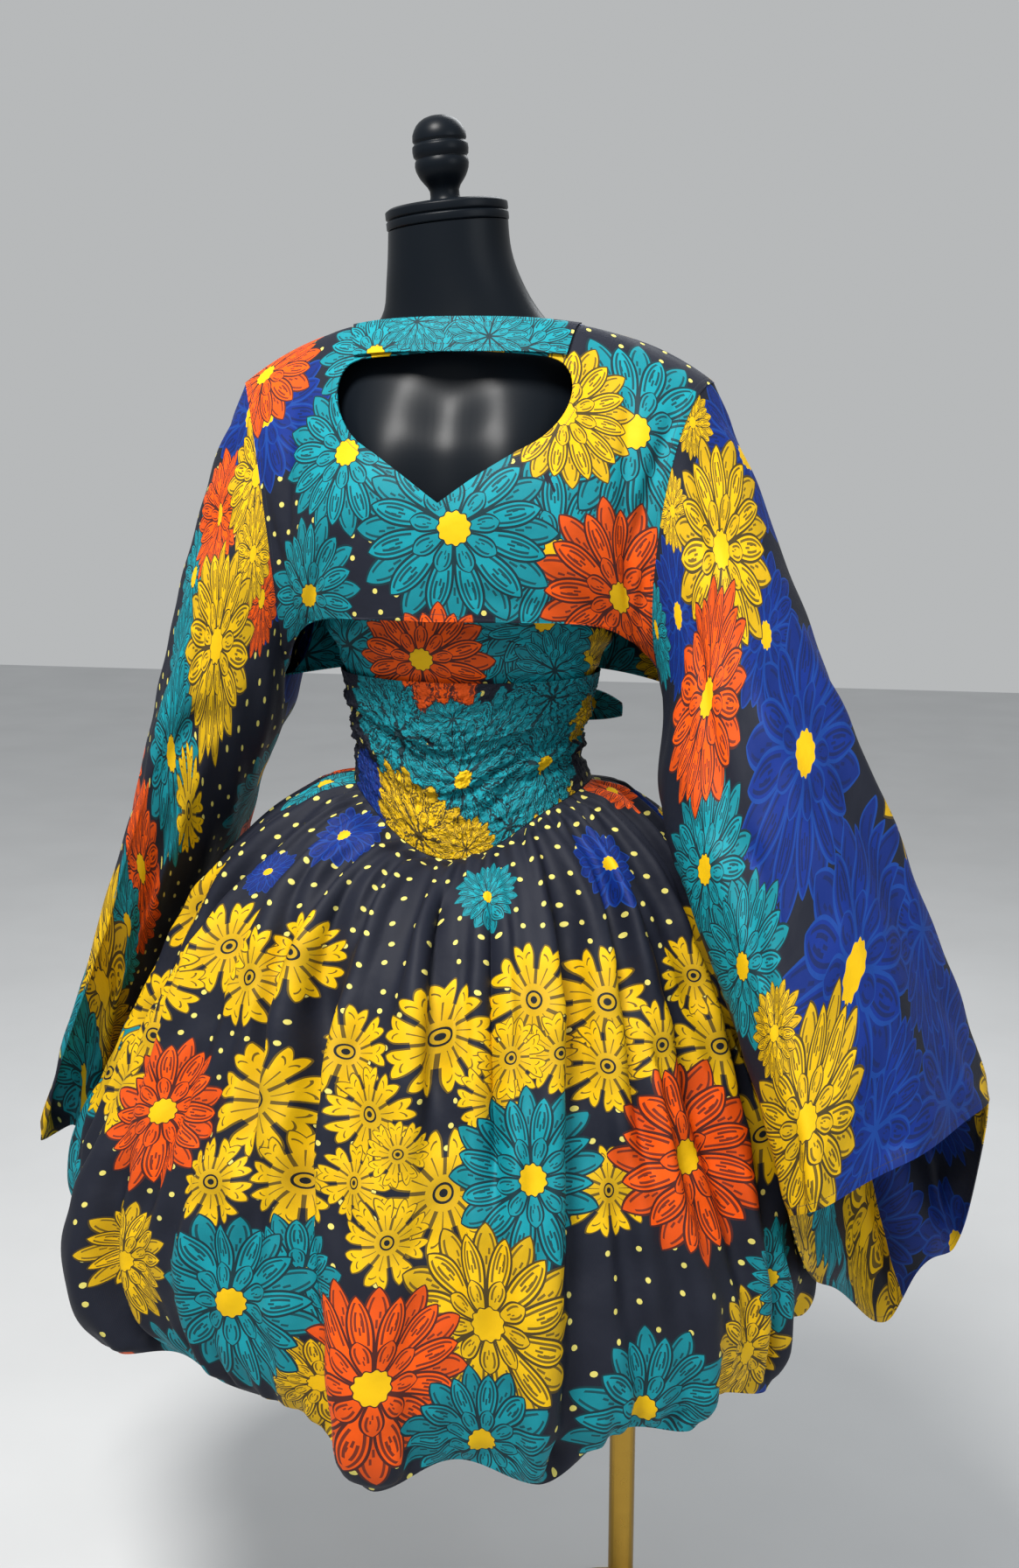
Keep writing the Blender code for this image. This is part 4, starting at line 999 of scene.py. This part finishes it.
def build_sleeves():
    for name, node, rows, clear, side in (
        ("print_sleeve_right", "sleeve_right", RIGHT_SLEEVE, -SLEEVE_LAP, 1.0),
        ("print_sleeve_left", "sleeve_left", LEFT_SLEEVE, SLEEVE_LAP, -1.0),
    ):
        turn, t, points, cloth = sleeve_grid(rows, clear)
        u, v = cloth[..., 0], cloth[..., 1]
        angle = np.radians(turn)
        loose = ease(t / 0.10) * ease((1 - t) / 0.03)
        height = SLEEVE_SWELL * waves(np.cos(angle) * 0.14, np.sin(angle) * 0.14 + v * 0.15, 31, 0.11) * t
        height += SLEEVE_RIPPLE * waves(np.cos(angle) * 0.12 + v * 0.4, np.sin(angle) * 0.12 + v, 33, 0.09)
        height += creases(u, v, SLEEVE_CREASES[node])
        piece = cloth_object(name, points[:, :-1], cloth, closed=True, side=side,
                             height=(height * loose)[:, :-1], style="dotted" if side < 0 else "plain",
                             sewn=edges_of(points, top=True))
        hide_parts(f"{node}_front", f"{node}_back")


def build_skirt():
    for name, node, low, high in (("print_skirt_front", "skirt_front", 180.09, 359.91),
                                  ("print_skirt_back", "skirt_back", 0.09, 179.91)):
        turn, t, points, cloth = skirt_grid(low, high)
        u, v = cloth[..., 0], cloth[..., 1]
        angle = np.radians(turn)
        side = 1 - np.abs(turn - (low + high) / 2) / 90.0
        seam = ease(t / 0.05) * ease((1 - t) / 0.04) * ease(side / 0.02)
        wander = 0.5 * waves(u, v, 41, 0.25)
        pleats = PLEAT_DEPTH * (np.cos(PLEAT_COUNT * angle + 3.0 * wander) - 1) * np.exp(-t / 0.17)
        falls = FALL_DEPTH * waves(u * 1.6, v * 0.30, 43, 0.11) * ease(t / 0.3)
        crumple = CRUMPLE_DEPTH * waves(u, v, 45, 0.07) * ease(t / 0.5)
        puckers = PUCKER_DEPTH * np.cos(PUCKER_COUNT * angle + 4.0 * wander) * ease((t - 0.80) / 0.14)
        height = (pleats + falls + crumple + puckers + gutters(u, v, SKIRT_GUTTERS[name])) * seam
        widths = np.linalg.norm(np.diff(points, axis=1), axis=-1).mean(axis=1) / np.diff(u[0]).mean()
        drawn_in = np.repeat(widths[:, None], u.shape[1], 1)
        share = DOT_FIELD_WIDTH / SKIRT_FLAT_WIDTH
        piece = cloth_object(name, points, cloth, side=-1.0, height=height,
                             gathered=(v[:, 0], np.minimum(widths, 1.0)),
                             dots=np.stack((u * share, v, drawn_in / share), -1))
        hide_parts(node)


# Finishes

class Wiring:
    """Short ways to add and join nodes of one tree."""

    def __init__(self, tree):
        self.tree = tree

    def add(self, kind, **settings):
        node = self.tree.nodes.new(kind)
        for name, value in settings.items():
            setattr(node, name, value)
        return node

    def feed(self, socket, value):
        if isinstance(value, bpy.types.NodeSocket):
            self.tree.links.new(value, socket)
        elif value is not None:
            socket.default_value = value

    def math(self, operation, *values, clamp=False):
        node = self.add("ShaderNodeMath", operation=operation, use_clamp=clamp)
        for socket, value in zip(node.inputs, values):
            self.feed(socket, value)
        return node.outputs[0]

    plus = partialmethod(math, "ADD")
    minus = partialmethod(math, "SUBTRACT")
    times = partialmethod(math, "MULTIPLY")
    over = partialmethod(math, "GREATER_THAN")
    under = partialmethod(math, "LESS_THAN")
    most = partialmethod(math, "MAXIMUM")
    least = partialmethod(math, "MINIMUM")

    def mix(self, share, first, second):
        node = self.add("ShaderNodeMix", data_type="RGBA")
        self.feed(node.inputs["Factor"], share)
        self.feed(node.inputs[6], first)
        self.feed(node.inputs[7], second)
        return node.outputs[2]

    def noise(self, vector, scale, detail=2.0, output="Fac"):
        """Uneven values between 0 and 1, one at a place or three of them as a colour."""
        node = self.add("ShaderNodeTexNoise")
        self.feed(node.inputs["Vector"], vector)
        node.inputs["Scale"].default_value = scale
        node.inputs["Detail"].default_value = detail
        return node.outputs[output]

    def shift(self, spot, noise, reach):
        """Moves x and y of a spot by up to half of reach."""
        centred = self.add("ShaderNodeVectorMath", operation="SUBTRACT")
        self.feed(centred.inputs[0], noise)
        centred.inputs[1].default_value = (0.5, 0.5, 0.5)
        moved = self.add("ShaderNodeVectorMath", operation="MULTIPLY_ADD")
        self.feed(moved.inputs[0], centred.outputs[0])
        moved.inputs[1].default_value = (reach, reach, 0.0)
        self.feed(moved.inputs[2], spot)
        return moved.outputs[0]

    def between(self, value, low, high):
        return self.times(self.over(value, low), self.under(value, high))

    def length(self, x, y):
        return self.math("SQRT", self.plus(self.times(x, x), self.times(y, y)))

    def stripes(self, vector, direction):
        node = self.add("ShaderNodeTexWave", bands_direction=direction)
        self.feed(node.inputs["Vector"], vector)
        node.inputs["Scale"].default_value = WEAVE_SCALE
        return node.outputs["Fac"]

    def bump(self, shader, height, strength, distance):
        """Raises the surface of a shader by a height."""
        node = self.add("ShaderNodeBump")
        node.inputs["Strength"].default_value = strength
        node.inputs["Distance"].default_value = distance
        self.feed(node.inputs["Height"], height)
        self.feed(shader.inputs["Normal"], node.outputs["Normal"])


INK = (0.006, 0.009, 0.013, 1.0)
PALE_BLUE = (0.005, 0.045, 0.255, 1.0)
THREAD = (0.030, 0.034, 0.045, 1.0)
DOT_SPACING = 0.0245
DOT_RADIUS = 0.0025
STITCH_INSET = 0.007
STITCH_LENGTH = 0.0030
STITCH_PINCH = 0.0012
THREAD_HALF = 0.0004
WEAVE_SCALE = 420.0
CLOTH_ROUGHNESS = 0.62
CLOTH_GLOSS = 0.20
Petals = namedtuple("Petals", "count phase start tip width power line contours")


def petal_ring(w, radius, angle, p):
    """One ring of leaf-shaped petals: where it is filled and outlined, and the finer lines inside."""
    turns = w.plus(w.times(angle, p.count / (2 * math.pi)), p.phase)
    aside = w.minus(w.math("FRACT", turns), 0.5)
    beside = w.math("ABSOLUTE", aside)
    along = w.math("DIVIDE", w.minus(radius, p.start), p.tip - p.start)
    along = w.least(w.most(along, 0.0), 1.0)
    taper = w.math("POWER", w.minus(1.0, w.math("POWER", along, p.power)), 0.80)
    arc = w.times(radius, 2 * math.pi / p.count)
    inset = w.times(w.minus(w.times(taper, p.width), beside), arc)
    filled = w.over(inset, 0.0)
    edge = w.under(inset, p.line)
    fine = w.times(w.under(beside, 0.035), w.between(along, 0.40, 0.52))
    for depth, low, high in p.contours:
        line = w.under(w.math("ABSOLUTE", w.minus(inset, depth)), p.line * 0.46)
        fine = w.most(fine, w.times(line, w.between(along, low, high)))
    fleck = w.times(w.between(aside, 0.05, 0.11), w.between(along, 0.54, 0.63))
    return filled, edge, w.most(fine, fleck)


def bloom_group():
    """The printed flower as a node group: a place in the flower and a tint in, its colour and mask out."""
    name = "printed_bloom"
    if name in bpy.data.node_groups:
        return bpy.data.node_groups[name]
    tree = bpy.data.node_groups.new(name, "ShaderNodeTree")
    for label, way, kind in (("Place", "INPUT", "Vector"), ("Tint", "INPUT", "Color"),
                             ("Centre", "INPUT", "Color"), ("Color", "OUTPUT", "Color"),
                             ("Mask", "OUTPUT", "Float")):
        tree.interface.new_socket(label, in_out=way, socket_type=f"NodeSocket{kind}")
    w = Wiring(tree)
    given, result = w.add("NodeGroupInput"), w.add("NodeGroupOutput")
    apart = w.add("ShaderNodeSeparateXYZ")
    w.feed(apart.inputs[0], given.outputs["Place"])
    x, y, kind = apart.outputs
    radius = w.length(x, y)
    angle = w.math("ARCTAN2", y, x)
    wobble = w.times(w.math("SINE", w.times(angle, 3.0)), 0.04)
    far = w.plus(radius, w.times(wobble, radius))
    tint = given.outputs["Tint"]
    hue = w.add("ShaderNodeSeparateColor", mode="RGB")
    w.feed(hue.inputs[0], tint)
    is_blue = w.times(w.under(hue.outputs[0], 0.10), w.under(hue.outputs[1], 0.15))
    line = w.mix(is_blue, w.mix(0.92, tint, INK), PALE_BLUE)
    soft = w.mix(is_blue, w.mix(0.80, tint, INK), w.mix(0.55, tint, INK))
    rings = (
        (Petals(12, 0.5, 0.30, 1.00, 0.50, 2.6, 0.026, ((0.062, 0.30, 0.84),)), w.mix(0.22, tint, INK)),
        (Petals(12, 0.0, 0.26, 0.88, 0.52, 2.5, 0.026, ((0.058, 0.25, 0.88), (0.096, 0.45, 0.74))), tint),
        (Petals(9, 0.25, 0.08, 0.45, 0.50, 4.5, 0.022, ((0.050, 0.45, 0.84),)), w.mix(0.12, tint, INK)),
    )
    colour, mask = tint, None
    for petals, fill in rings:
        filled, edge, fine = petal_ring(w, far, angle, petals)
        painted = w.mix(edge, w.mix(fine, fill, soft), line)
        colour = w.mix(filled, colour, painted)
        mask = filled if mask is None else w.most(mask, filled)
    scallop = w.plus(radius, w.times(w.math("COSINE", w.times(angle, 11.0)), 0.010))
    core = w.times(w.under(scallop, 0.168), w.under(kind, 1.15))
    rim = w.over(scallop, 0.155)
    colour = w.mix(core, colour, w.mix(rim, given.outputs["Centre"], line))

    turns = w.times(angle, 9 / (2 * math.pi))
    beside = w.math("ABSOLUTE", w.minus(w.math("FRACT", turns), 0.5))
    notch = w.times(w.math("SINE", w.times(beside, 1.9 * math.pi)), 0.15)
    tip = w.minus(w.plus(0.85, notch), radius)
    widen = w.minus(0.50, w.times(w.over(radius, 0.54), 0.075))
    rounding = w.times(w.math("POWER", w.most(w.minus(radius, 0.72), 0.0), 2.0), 1.6)
    widen = w.minus(widen, rounding)
    flank = w.times(w.minus(widen, beside), w.times(radius, 2 * math.pi / 9))
    inset = w.least(tip, flank)
    leaf = w.over(inset, 0.0)
    edge = w.times(w.under(inset, 0.030), w.over(radius, 0.28))
    vein = w.times(w.under(beside, 0.030), w.between(radius, 0.28, 0.60))
    bow = w.math("ABSOLUTE", w.minus(w.minus(radius, notch), 0.66))
    bow = w.times(w.under(bow, 0.018), w.between(beside, 0.06, 0.28))
    ochre = w.times(w.minus(0.80, radius), 0.55, clamp=True)
    daisy = w.mix(w.most(vein, bow), w.mix(ochre, tint, INK), soft)
    daisy = w.mix(edge, daisy, w.mix(0.85, tint, INK))
    ring = w.most(w.between(radius, 0.125, 0.165), w.under(radius, 0.065))
    daisy = w.mix(ring, daisy, INK)

    is_daisy = w.over(kind, 1.5)
    shown = w.over(kind, 0.5)
    w.feed(result.inputs["Color"], w.mix(is_daisy, colour, daisy))
    both = w.plus(w.times(mask, w.minus(1.0, is_daisy)),
                  w.times(leaf, is_daisy))
    w.feed(result.inputs["Mask"], w.times(both, shown, clamp=True))
    return tree


def wax_print(style):
    """Printed cotton: a dark ground, three layers of flowers, rows of stitches and a fine weave.

    The ground is dotted or plain, and the crinkled style is ruched so finely that the print breaks up.
    """
    name = f"wax_print_{style}"
    if name in bpy.data.materials:
        return bpy.data.materials[name]
    colours = bpy.context.scene.dress_colours
    made = bpy.data.materials.new(name)
    made.use_nodes = True
    w = Wiring(made.node_tree)
    shader = made.node_tree.nodes["Principled BSDF"]
    cloth = w.add("ShaderNodeUVMap", uv_map="cloth").outputs[0]
    field = w.add("ShaderNodeAttribute", attribute_name="dots").outputs["Vector"]
    cells = w.add("ShaderNodeTexVoronoi", voronoi_dimensions="2D")
    w.feed(cells.inputs["Vector"], field)
    cells.inputs["Scale"].default_value = 1 / DOT_SPACING
    cells.inputs["Randomness"].default_value = 0.5
    here, nearest = w.add("ShaderNodeSeparateXYZ"), w.add("ShaderNodeSeparateXYZ")
    w.feed(here.inputs[0], field)
    w.feed(nearest.inputs[0], cells.outputs["Position"])
    aside = w.times(w.minus(here.outputs[0], nearest.outputs[0]), here.outputs[2])
    above = w.minus(here.outputs[1], nearest.outputs[1])
    away = w.length(aside, above)
    dot = w.under(away, 0.0 if style == "plain" else DOT_RADIUS)
    colour = w.mix(dot, (*colours.ground, 1.0), (*colours.dot, 1.0))
    for layer in (2, 1, 0):
        place = w.add("ShaderNodeAttribute", attribute_name=f"bloom_{layer}")
        tint = w.add("ShaderNodeAttribute", attribute_name=f"tint_{layer}")
        flower = w.add("ShaderNodeGroup", node_tree=bloom_group())
        spot = place.outputs["Vector"]
        if style == "crinkled":
            spot = w.shift(spot, w.noise(cloth, 230.0, output="Color"), 0.13)
        w.feed(flower.inputs["Place"], spot)
        w.feed(flower.inputs["Tint"], tint.outputs["Color"])
        w.feed(flower.inputs["Centre"], (*colours.yellow, 1.0))
        colour = w.mix(flower.outputs["Mask"], colour, flower.outputs["Color"])
    sewn = w.add("ShaderNodeSeparateXYZ")
    w.feed(sewn.inputs[0], w.add("ShaderNodeAttribute", attribute_name="sewn").outputs["Vector"])
    row = w.between(sewn.outputs[0], STITCH_INSET - THREAD_HALF, STITCH_INSET + THREAD_HALF)
    step = w.under(w.math("FRACT", w.math("DIVIDE", sewn.outputs[1], STITCH_LENGTH)), 0.72)
    thread = w.times(row, step)
    beside = w.between(sewn.outputs[0], STITCH_INSET - STITCH_PINCH, STITCH_INSET + STITCH_PINCH)
    pinch = w.minus(1.0, w.times(beside, 0.8))
    colour = w.mix(w.times(thread, 0.75), colour, THREAD)
    faded = w.times(w.noise(cloth, 38.0, 4.0), 0.22)
    w.feed(shader.inputs["Base Color"], w.mix(faded, colour, w.mix(0.5, colour, INK)))
    shader.inputs["Roughness"].default_value = CLOTH_ROUGHNESS
    shader.inputs["Specular IOR Level"].default_value = CLOTH_GLOSS
    threads = w.plus(w.stripes(cloth, "X"), w.stripes(cloth, "Y"))
    rumple = w.plus(w.times(w.noise(cloth, 22.0, 3.0), 6.0), w.times(threads, 0.10))
    rumple = w.plus(rumple, w.plus(pinch, w.times(thread, 0.4)))
    if style == "crinkled":
        rumple = w.plus(rumple, w.times(w.noise(cloth, 240.0, 3.0), 5.0))
    w.bump(shader, rumple, 0.8 if style == "crinkled" else 0.35, 0.0012)
    return made


def plain_finish(name, colour, roughness, metallic=0.0, grain=40.0, depth=0.0002, gloss=0.5):
    """A hard surface with fine unevenness in its gloss and its surface."""
    made = bpy.data.materials.new(name)
    made.use_nodes = True
    w = Wiring(made.node_tree)
    shader = made.node_tree.nodes["Principled BSDF"]
    where = w.add("ShaderNodeTexCoord").outputs["Object"]
    wear = w.noise(where, grain, 5.0)
    shader.inputs["Metallic"].default_value = metallic
    shader.inputs["Specular IOR Level"].default_value = gloss
    tone = w.mix(w.times(wear, 0.35), (*colour, 1.0), (*(c * 0.6 for c in colour), 1.0))
    w.feed(shader.inputs["Base Color"], tone)
    w.feed(shader.inputs["Roughness"], w.plus(roughness, w.times(wear, roughness * 0.4)))
    w.bump(shader, wear, 0.3, depth)
    return made


def dress_node(node, finish):
    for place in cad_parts[node].material_slots:
        place.material = finish


def only(piece):
    """Leaves one object selected and active."""
    bpy.ops.object.select_all(action="DESELECT")
    piece.select_set(True)
    bpy.context.view_layer.objects.active = piece


def settle(piece, slot, *nodes):
    """Puts a hard piece's place into its mesh and hands it over in place of its CAD nodes."""
    only(piece)
    bpy.ops.object.transform_apply(location=True, rotation=True, scale=True)
    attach(piece, "root")
    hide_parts(*nodes)


def turned(name, profile, sides):
    """A piece turned on a lathe: a disc drawn up ring by ring, its corners eased."""
    bpy.ops.object.select_all(action="DESELECT")
    radius, low = profile[0]
    bpy.ops.mesh.primitive_circle_add(vertices=sides, radius=radius, fill_type="NGON",
                                      location=(0.0, 0.0, 0.0))
    piece = bpy.context.object
    piece.name = piece.data.name = name
    bpy.ops.object.mode_set(mode="EDIT")
    bpy.ops.mesh.select_all(action="SELECT")
    bpy.ops.transform.translate(value=(0.0, 0.0, low))
    for wide, height in profile[1:]:
        bpy.ops.mesh.extrude_region_move(TRANSFORM_OT_translate={"value": (0.0, 0.0, height - low)})
        share = wide / radius
        bpy.ops.transform.resize(value=(share, share, 1.0), center_override=(0.0, 0.0, height))
        radius, low = wide, height
    bpy.ops.mesh.select_all(action="SELECT")
    bpy.ops.mesh.normals_make_consistent(inside=False)
    bpy.ops.object.mode_set(mode="OBJECT")
    eased = piece.modifiers.new("eased_corners", "BEVEL")
    eased.width, eased.segments, eased.limit_method = EASED_CORNER, 2, "ANGLE"
    eased.angle_limit = math.radians(35)
    bpy.ops.object.modifier_apply(modifier=eased.name)
    bpy.ops.object.shade_smooth_by_angle(angle=math.radians(40))
    return piece


def draw_out(piece, x, height, reach, size):
    """Moves the form's front out by reach round the point at x and height, falling away softly over size."""
    mesh = piece.data
    for parts in (mesh.vertices, mesh.edges, mesh.polygons):
        parts.foreach_set("select", np.zeros(len(parts), bool))
    front = [v for v in mesh.vertices if v.co.y < 0]
    nearest = min(front, key=lambda v: (v.co.x - FORM_OFFSET - x) ** 2 + (v.co.z - height) ** 2)
    nearest.select = True
    bpy.ops.object.mode_set(mode="EDIT")
    bpy.ops.transform.translate(value=(0.0, -reach, 0.0), use_proportional_edit=True,
                                use_proportional_connected=True, proportional_edit_falloff="SMOOTH",
                                proportional_size=size)
    bpy.ops.object.mode_set(mode="OBJECT")


def build_form():
    """The moulded torso, smoothed from its CAD solid, and the turned plate and finial on its neck."""
    colours = bpy.context.scene.dress_colours
    gloss = plain_finish("form_gloss_black_fine", colours.form, 0.30, grain=18.0, depth=0.0004, gloss=0.11)
    only(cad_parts["dress_form"])
    bpy.ops.object.duplicate()
    torso = bpy.context.object
    torso.name = torso.data.name = "smooth_form"
    bpy.ops.object.mode_set(mode="EDIT")
    bpy.ops.mesh.select_all(action="SELECT")
    bpy.ops.mesh.remove_doubles(threshold=0.0001)
    bpy.ops.mesh.tris_convert_to_quads()
    bpy.ops.mesh.select_all(action="DESELECT")
    bpy.ops.object.mode_set(mode="OBJECT")
    heights = [v.co.z for v in torso.data.vertices]
    low, high = min(heights) + LOW_CAP_SPAN, max(heights) - NECK_CAP_SPAN
    for face in torso.data.polygons:
        face.select = abs(face.normal.z) > CAP_FLATNESS and not low <= face.center.z <= high
    bpy.ops.object.mode_set(mode="EDIT")
    bpy.ops.mesh.delete(type="FACE")
    bpy.ops.object.mode_set(mode="OBJECT")
    rounded = torso.modifiers.new("rounded", "SUBSURF")
    rounded.levels = rounded.render_levels = 2
    bpy.ops.object.modifier_apply(modifier=rounded.name)
    for x, height, reach, size in SLOPES:
        draw_out(torso, x, height, reach, size)
    bpy.ops.object.mode_set(mode="EDIT")
    bpy.ops.mesh.select_all(action="SELECT")
    bpy.ops.mesh.fill_holes(sides=0)
    bpy.ops.object.mode_set(mode="OBJECT")
    bpy.ops.object.shade_smooth_by_angle(angle=math.radians(50))
    torso.data.materials.clear()
    torso.data.materials.append(gloss)
    settle(torso, "form_gloss_black", "dress_form")
    seat = (FORM_OFFSET + FORM_ROWS[-1].shift, 0.0, FORM_TOP + SEAT_GAP)
    for name, profile, stretch, node in (("smooth_plate", PLATE, PLATE_STRETCH, "neck_plate"),
                                         ("smooth_finial", KNOB, 1.0, "neck_finial")):
        piece = turned(name, profile, TURNED_SIDES)
        piece.data.materials.append(gloss)
        piece.scale = (1.0, stretch, 1.0)
        piece.rotation_euler = (0.0, -math.atan(NECK_TILT), 0.0)
        piece.location = seat
        settle(piece, "form_gloss_black", node)


def build_stand():
    colours = bpy.context.scene.dress_colours
    brass = plain_finish("stand_brass_fine", colours.brass, 0.22, metallic=1.0, grain=60.0, depth=0.0001)
    for node in ("stand_pole", "stand_base"):
        dress_node(node, brass)


# Studio

CAMERA_TURN = math.radians(10.0)
CAMERA_PITCH = math.radians(12.5)
CAMERA_DISTANCE = 1.75
CAMERA_ASIDE = 0.034
CAMERA_HEIGHT = 1.414
CAMERA_LENS = 40.36
FLOOR_SIZE = 14.0
AIR_COLOUR = (0.86, 0.88, 0.89, 1.0)
AIR_STRENGTH = 0.55

Light = namedtuple("Light", "name place aim size power tint")
LIGHTS = (
    Light("key_softbox", (-0.6, -1.35, 3.5), (-0.16, -0.1, 1.0), 1.0, 136.0, (1.0, 0.98, 0.95)),
    Light("side_fill", (2.2, -1.4, 2.1), (-0.1, 0.0, 0.9), 1.6, 16.0, (0.93, 0.97, 1.0)),
    Light("back_top", (0.2, 1.8, 2.8), (-0.16, 0.0, 1.1), 1.4, 22.0, (0.95, 0.98, 1.0)),
)


def add_light(name, place, aim, size, power, tint):
    lamp = bpy.data.lights.new(name, "AREA")
    lamp.shape = "DISK"
    lamp.size = size
    lamp.energy = power
    lamp.color = tint
    made = bpy.data.objects.new(name, lamp)
    made.location = place
    made.rotation_euler = (Vector(aim) - Vector(place)).to_track_quat("-Z", "Y").to_euler()
    bpy.context.scene.collection.objects.link(made)


def build_stage():
    camera = bpy.data.cameras.new("view_from_the_front")
    camera.sensor_width = 36.0
    camera.lens = CAMERA_LENS
    eye = bpy.data.objects.new("view_from_the_front", camera)
    cos, sin = math.cos(CAMERA_TURN), math.sin(CAMERA_TURN)
    eye.location = (FORM_OFFSET + CAMERA_DISTANCE * sin + CAMERA_ASIDE * cos,
                    -CAMERA_DISTANCE * cos + CAMERA_ASIDE * sin, CAMERA_HEIGHT)
    eye.rotation_euler = (math.pi / 2 - CAMERA_PITCH, 0.0, CAMERA_TURN)
    bpy.context.scene.collection.objects.link(eye)
    bpy.context.scene.camera = eye
    bpy.ops.mesh.primitive_plane_add(size=FLOOR_SIZE, location=(0.0, 0.0, 0.0))
    floor = bpy.context.object
    floor.name = "studio_floor"
    pale = plain_finish("studio_floor_pale", (0.62, 0.63, 0.64), 0.75, grain=3.0)
    floor.data.materials.append(pale)
    world = bpy.data.worlds.new("studio_air")
    world.use_nodes = True
    air = world.node_tree.nodes["Background"]
    air.inputs["Color"].default_value = AIR_COLOUR
    air.inputs["Strength"].default_value = AIR_STRENGTH
    bpy.context.scene.world = world
    bpy.context.scene.view_settings.view_transform = "Standard"
    for light in LIGHTS:
        add_light(*light)


# Add-on

class DressSizes(bpy.types.PropertyGroup):
    cloth_thickness: FloatProperty(name="Cloth Thickness", description="Thickness of the printed cotton",
                                   default=0.0014, min=0.0005, max=0.003, unit="LENGTH")
    crease_depth: FloatProperty(name="Crease Depth", description="How deep the folds and creases are drawn",
                                default=1.0, min=0.0, max=2.0, subtype="FACTOR")


def colour_property(label, words, default):
    return FloatVectorProperty(name=label, description=words, default=default, size=3, min=0.0, max=1.0,
                               subtype="COLOR")


class DressColours(bpy.types.PropertyGroup):
    teal: colour_property("Teal", "Teal petals", (0.004, 0.270, 0.330))
    yellow: colour_property("Yellow", "Yellow petals and centres", (0.780, 0.470, 0.001))
    orange: colour_property("Orange", "Orange petals", (0.860, 0.095, 0.001))
    blue: colour_property("Blue", "Royal blue petals", (0.002, 0.022, 0.200))
    ground: colour_property("Ground", "Dark ground of the print", (0.010, 0.012, 0.022))
    dot: colour_property("Dots", "Small dots on the ground", (0.700, 0.620, 0.150))
    form: colour_property("Form", "Gloss black form", (0.004, 0.006, 0.009))
    brass: colour_property("Brass", "Pole and base", (0.430, 0.260, 0.045))


class Step:
    """One step of the dress, run by its build function."""

    def execute(self, context):
        self.build()
        return {"FINISHED"}


class DRESS_OT_form(Step, bpy.types.Operator):
    """Make the smooth gloss black form with its neck plate and finial"""

    bl_idname = "dress.form"
    bl_label = "Dress Form"
    build = staticmethod(build_form)


class DRESS_OT_stand(Step, bpy.types.Operator):
    """Give the pole and the base their brass finish"""

    bl_idname = "dress.stand"
    bl_label = "Stand"
    build = staticmethod(build_stand)


class DRESS_OT_top(Step, bpy.types.Operator):
    """Make the cropped top's front, back and neck band"""

    bl_idname = "dress.top"
    bl_label = "Top"
    build = staticmethod(build_top)


class DRESS_OT_waist(Step, bpy.types.Operator):
    """Make the midriff, the wrapped sash, its knot and ties"""

    bl_idname = "dress.waist"
    bl_label = "Midriff and Sash"
    build = staticmethod(build_waist)


class DRESS_OT_sleeves(Step, bpy.types.Operator):
    """Make the two flared sleeves"""

    bl_idname = "dress.sleeves"
    bl_label = "Sleeves"
    build = staticmethod(build_sleeves)


class DRESS_OT_skirt(Step, bpy.types.Operator):
    """Make the gathered puff skirt"""

    bl_idname = "dress.skirt"
    bl_label = "Skirt"
    build = staticmethod(build_skirt)


class DRESS_OT_stage(Step, bpy.types.Operator):
    """Set up the pale floor, the soft lights and the camera"""

    bl_idname = "dress.stage"
    bl_label = "Studio"
    build = staticmethod(build_stage)


class DRESS_PT_panel(bpy.types.Panel):
    """Sizes, colours and steps of the mini dress"""

    bl_idname = "DRESS_PT_panel"
    bl_label = "Mini Dress"
    bl_space_type = "VIEW_3D"
    bl_region_type = "UI"
    bl_category = "Mini Dress"

    def draw(self, context):
        layout = self.layout
        for group in (context.scene.dress_sizes, context.scene.dress_colours):
            for name in group.bl_rna.properties.keys():
                if name not in ("rna_type", "name"):
                    layout.prop(group, name)
        for operator in OPERATORS:
            layout.operator(operator.bl_idname)


OPERATORS = (DRESS_OT_form, DRESS_OT_stand, DRESS_OT_top, DRESS_OT_waist, DRESS_OT_sleeves, DRESS_OT_skirt,
             DRESS_OT_stage)
CLASSES = (DressSizes, DressColours, *OPERATORS, DRESS_PT_panel)


def register():
    for item in CLASSES:
        bpy.utils.register_class(item)
    bpy.types.Scene.dress_sizes = PointerProperty(type=DressSizes)
    bpy.types.Scene.dress_colours = PointerProperty(type=DressColours)


def unregister():
    del bpy.types.Scene.dress_colours
    del bpy.types.Scene.dress_sizes
    for item in reversed(CLASSES):
        bpy.utils.unregister_class(item)


def main():
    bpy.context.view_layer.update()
    bpy.ops.object.select_all(action="DESELECT")
    register()
    bpy.ops.dress.form()
    bpy.ops.dress.stand()
    bpy.ops.dress.top()
    bpy.ops.dress.waist()
    bpy.ops.dress.sleeves()
    bpy.ops.dress.skirt()
    bpy.ops.dress.stage()


if __name__ == "__main__":
    main()
